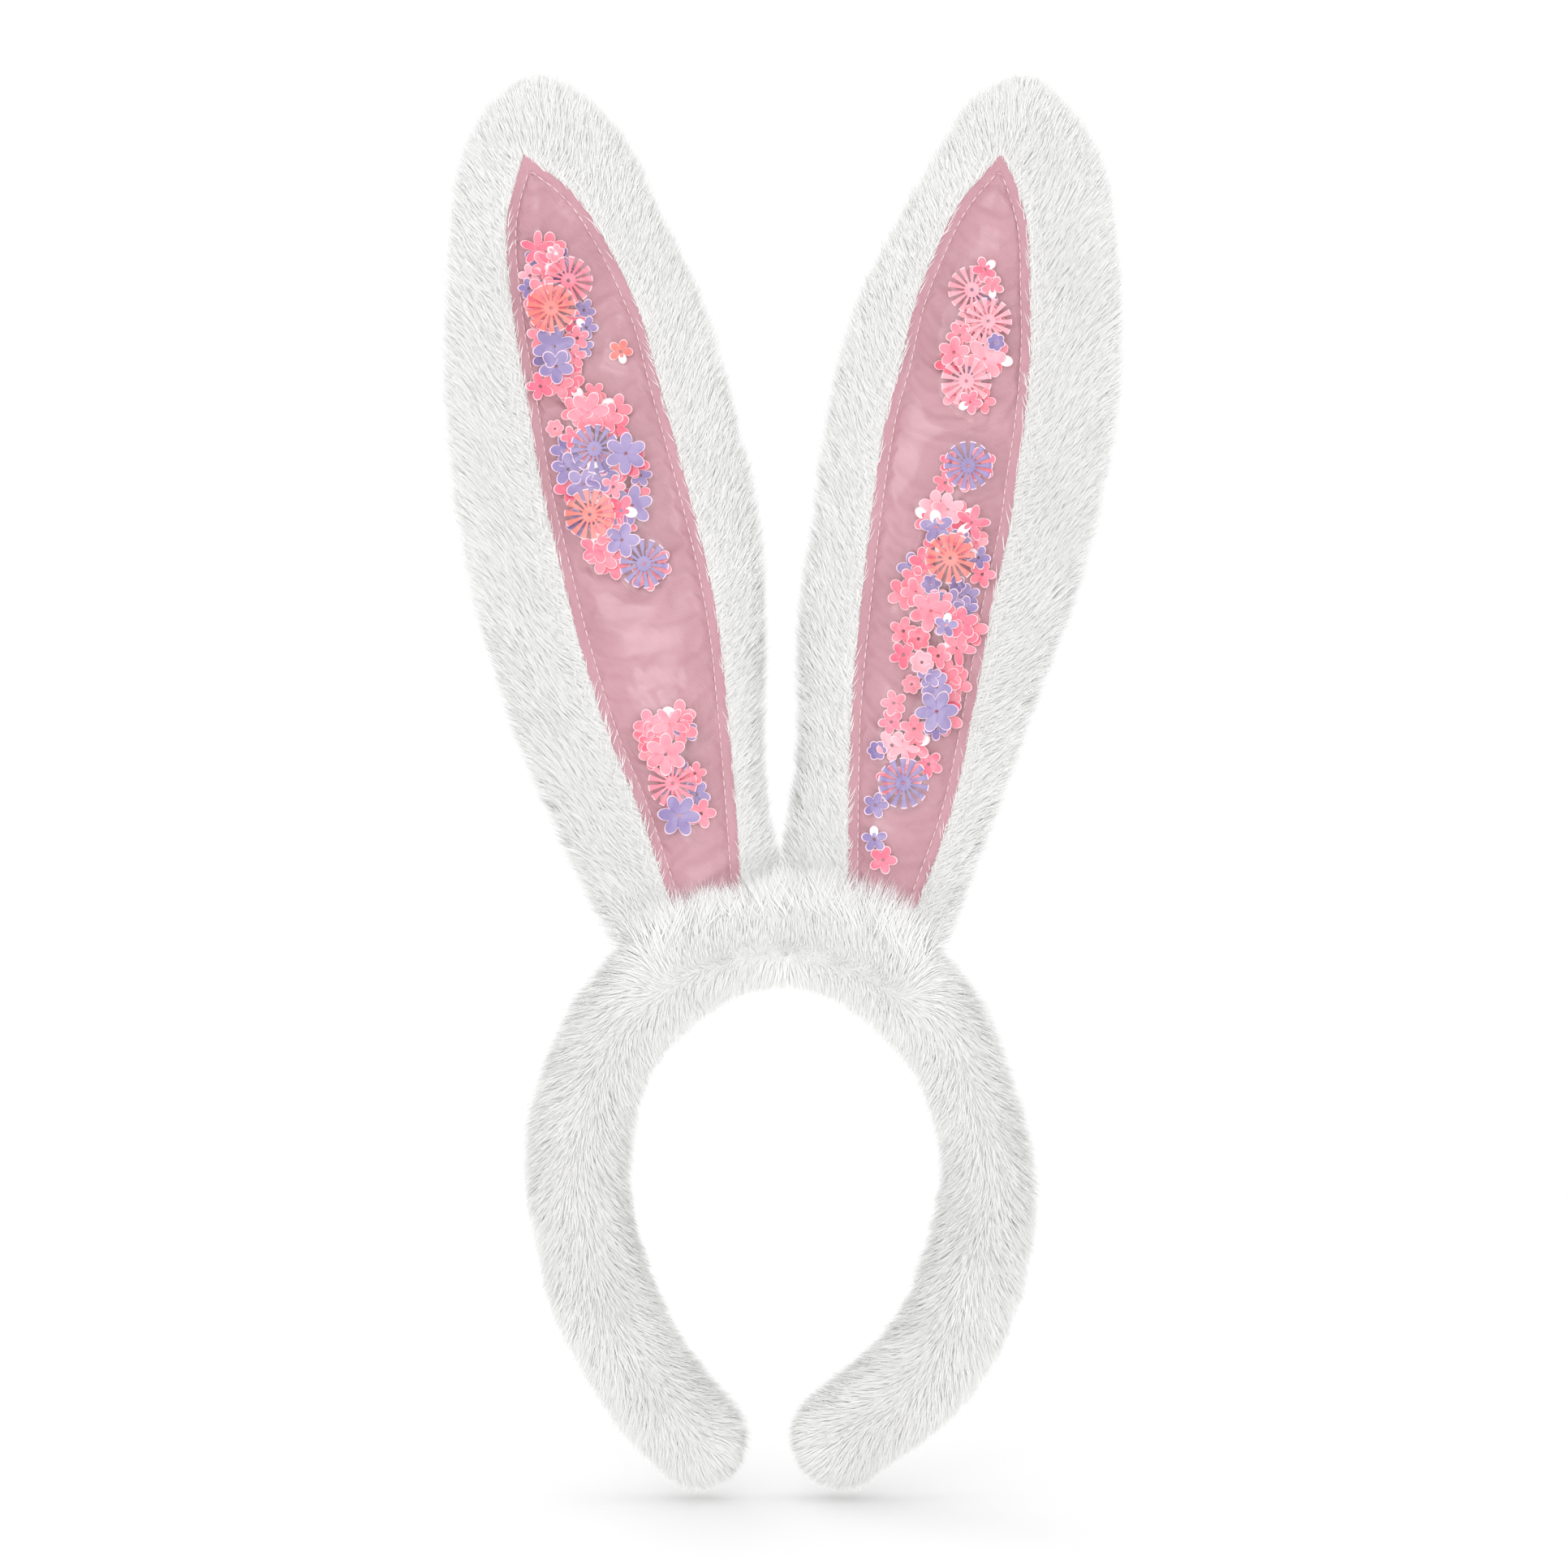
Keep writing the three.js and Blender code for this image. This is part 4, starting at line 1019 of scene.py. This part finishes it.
def sequin_mesh(kind, radius, colour):
    """Points, triangles and material indices of one sequin lying in its own plane, face up."""
    radius = radius * SEQUIN_SCALE.get(kind, 1.0)
    flat = kind == "wheel"
    turn, reach, petal = sequin_outline(kind, radius)
    count = len(turn)
    way = np.stack([np.cos(turn), np.sin(turn)], 1)
    hole = min(HOLE_RADIUS, radius * 0.13)
    cup = {"cup": 0.8, "wheel": 0.0}.get(kind, 0.22)
    petals = petal.max() + 1
    bend = rng.normal(0, 0.03 if flat else 0.22, petals)[petal]
    fold = rng.normal(0, 0.01 if flat else 0.06, petals)[petal]
    highlight_rim = np.maximum(reach - SEQUIN_HIGHLIGHT_RIM, hole + 0.25)
    rings = []
    for size, lift in ((np.full(count, hole), 0.0), (np.maximum(highlight_rim * 0.55, hole + 0.1), 0.0),
                       (highlight_rim, 0.03), (reach, 0.12)):
        share = size / radius
        height = cup * share ** 2 + bend * np.clip(share - 0.3, 0, 1) ** 2 + lift
        height += fold * size * np.sin(turn - petal * math.tau / petals)
        rings.append(np.column_stack([way * size[:, None], height]))
    rings += [rings[3] - [0, 0, SEQUIN_THICKNESS], rings[0] - [0, 0, SEQUIN_THICKNESS]]
    # The last strip of the grid joins the underside to the first ring, round the hole.
    faces = grid_triangles(len(rings) + 1, count, closed=True) % (len(rings) * count)
    ring = np.tile(np.repeat(np.arange(len(rings)), count), 2)
    at = faces[:, 0] % count
    # Painted highlight: the outer band and edge of each petal, or of each ray's end, are paler to stand
    # for light catching the edge.
    edge = SEQUIN_ORDER.index("highlight_rim_violet" if colour == "violet" else "highlight_rim")
    highlight_rim_faces = np.isin(ring, (2, 3)) & (reach[at] > radius * (0.9 if flat else 0.28))
    indices = np.where(highlight_rim_faces, edge, SEQUIN_ORDER.index(colour))
    # Painted glint: on some flowers the middle band of one petal is coloured near white.
    if not flat and rng.random() < PAINTED_GLINT_CHANCE:
        bright = rng.integers(petals)
        indices[(petal[at] == bright) & (ring == 1)] = SEQUIN_ORDER.index("white")
    return np.vstack(rings), faces, indices


def read_rows(text):
    """The rows of a table of sequins, with their numbers read."""
    rows = (row.split() for row in text.split(","))
    return [(kind, *map(float, place), colour) for kind, *place, colour in rows]


def underlay(rows):
    """Flowers that lie half hidden under a heap, one or two near each larger sequin in it."""
    hidden = []
    for _, height, across, radius, colour in rows:
        if radius < 4.4 or len(rows) < 2:
            continue
        for _ in range(2):
            way = rng.uniform(0, 2 * math.pi)
            tone = rng.choice(["pink", "hot", "violet", "pale" if colour == "pale" else "pink"])
            place = across + 3.6 * math.cos(way)
            if abs(place) < 12:
                hidden.append(("petal5", height + 3.6 * math.sin(way), place,
                               rng.uniform(4.2, 5.2), str(tone)))
    return hidden + rows


def slide_travel(body):
    """Places, in mm along the ear, that a loose heap's slide takes it through."""
    joint = next(j for j in frame["record"]["behaviour"]["joints"] if j["child"] == body)
    return np.linspace(*joint["range_m"], TRAVEL_STEPS) / MM


def lay_sequins(ear, panel, rows, travel=(0,)):
    """Points in the ear's frame, triangles and material indices of a heap of sequins.

    A heap that slides lies clear of the satin all along its travel.
    """
    rows = underlay(rows)
    layers = []
    all_points, all_faces, all_indices, offset = [], [], [], 0
    for i, (kind, height, across, radius, colour) in enumerate(rows):
        under = [layers[j] for j in range(i)
                 if math.hypot(rows[j][1] - height, rows[j][2] - across)
                 < (rows[j][3] + radius) * 0.74]
        step = WHEEL_STEP if kind == "wheel" else 1
        layer = min(max(under) + step, MOST_LAYERS) if under else 0
        layers.append(layer)
        points, faces, indices = sequin_mesh(kind, radius, colour)
        spin = rng.uniform(0, 2 * math.pi)
        tilt = rng.normal(0, 0.03, 2)
        c, s = math.cos(spin), math.sin(spin)
        x, z = c * points[:, 0] - s * points[:, 1], s * points[:, 0] + c * points[:, 1]
        lift = points[:, 2] + x * tilt[0] + z * tilt[1]
        lift += max(0.0, 0.12 - lift.min()) if layer == 0 else 0.0
        place = np.column_stack([ear.side * across + x, height + z])
        ground = min(panel.y(place + [[0, s]]).min() for s in travel)
        y = ground - 0.1 - layer * SEQUIN_LAYER - lift
        all_points.append(np.column_stack([place[:, 0], y, place[:, 1]]))
        all_faces.append(faces + offset)
        all_indices.append(indices)
        offset += len(points)
    return np.vstack(all_points), np.vstack(all_faces), np.concatenate(all_indices)


def build_sequins(ear, heap, name, nodes, body=None):
    points, faces, indices = heap
    piece = make_object(name, ear.place(points) * MM, faces[:, ::-1],
                        SEQUIN_LOOKS, indices, smooth=False)
    if body:
        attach(piece, body)
    else:
        ear.blend(piece)
    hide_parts(*nodes)


def sequin_nodes(body_names):
    return [n for body in body_names for n in frame["record"]["behaviour"]["bodies"][body]
            if n.startswith("sequin")]


def build_ear(key):
    ear = Ear(key)
    build_plush(ear)
    panel = Panel(ear)
    build_satin(ear, panel)
    sewn = lay_sequins(ear, panel, read_rows(SEQUINS[key]))
    body = f"loose_sequins_{key}"
    travel = slide_travel(body)
    loose = lay_sequins(ear, panel, read_rows(LOOSE_SEQUINS[key]), travel)
    build_window(ear, panel, np.vstack([sewn[0]] + [loose[0] + [0, 0, s] for s in travel]))
    build_stitches(ear, panel)
    build_sequins(ear, sewn, f"sequins_{key}",
                  sequin_nodes([f"ear_lower_{key}", f"ear_upper_{key}"]))
    build_sequins(ear, loose, f"sequins_loose_{key}",
                  sequin_nodes([body]), body=body)


# ---- Hidden CAD pieces, floor ----
def finish_cad_nodes():
    for name, item in frame["nodes"].items():
        look = WIRE if name.startswith("wire") else CORE if name.startswith("band_core") else None
        if look:
            item.data.materials.clear()
            item.data.materials.append(look)


def make_floor(height):
    highlight_rim = [(FLOOR_RADIUS * math.cos(math.tau * k / FLOOR_SIDES),
            FLOOR_RADIUS * math.sin(math.tau * k / FLOOR_SIDES), height)
           for k in range(FLOOR_SIDES)]
    points = [(0, 0, height), *highlight_rim]
    faces = [[0, 1 + k, 1 + (k + 1) % FLOOR_SIDES] for k in range(FLOOR_SIDES)]
    look = mottled("pale_floor", ((0.955, 0.955, 0.955), (0.97, 0.97, 0.97)), 6.0, 0.8,
                   Emission_Color=(1, 1, 1), Emission_Strength=0.07)
    floor = make_object("floor", points, faces, [look])
    floor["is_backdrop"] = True


make_camera()
make_lights()
build_hoop(-1, "left")
build_hoop(1, "right")
for ear_key in EARS:
    build_ear(ear_key)
finish_cad_nodes()
make_floor(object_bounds()[0][2] - FLOOR_GAP)
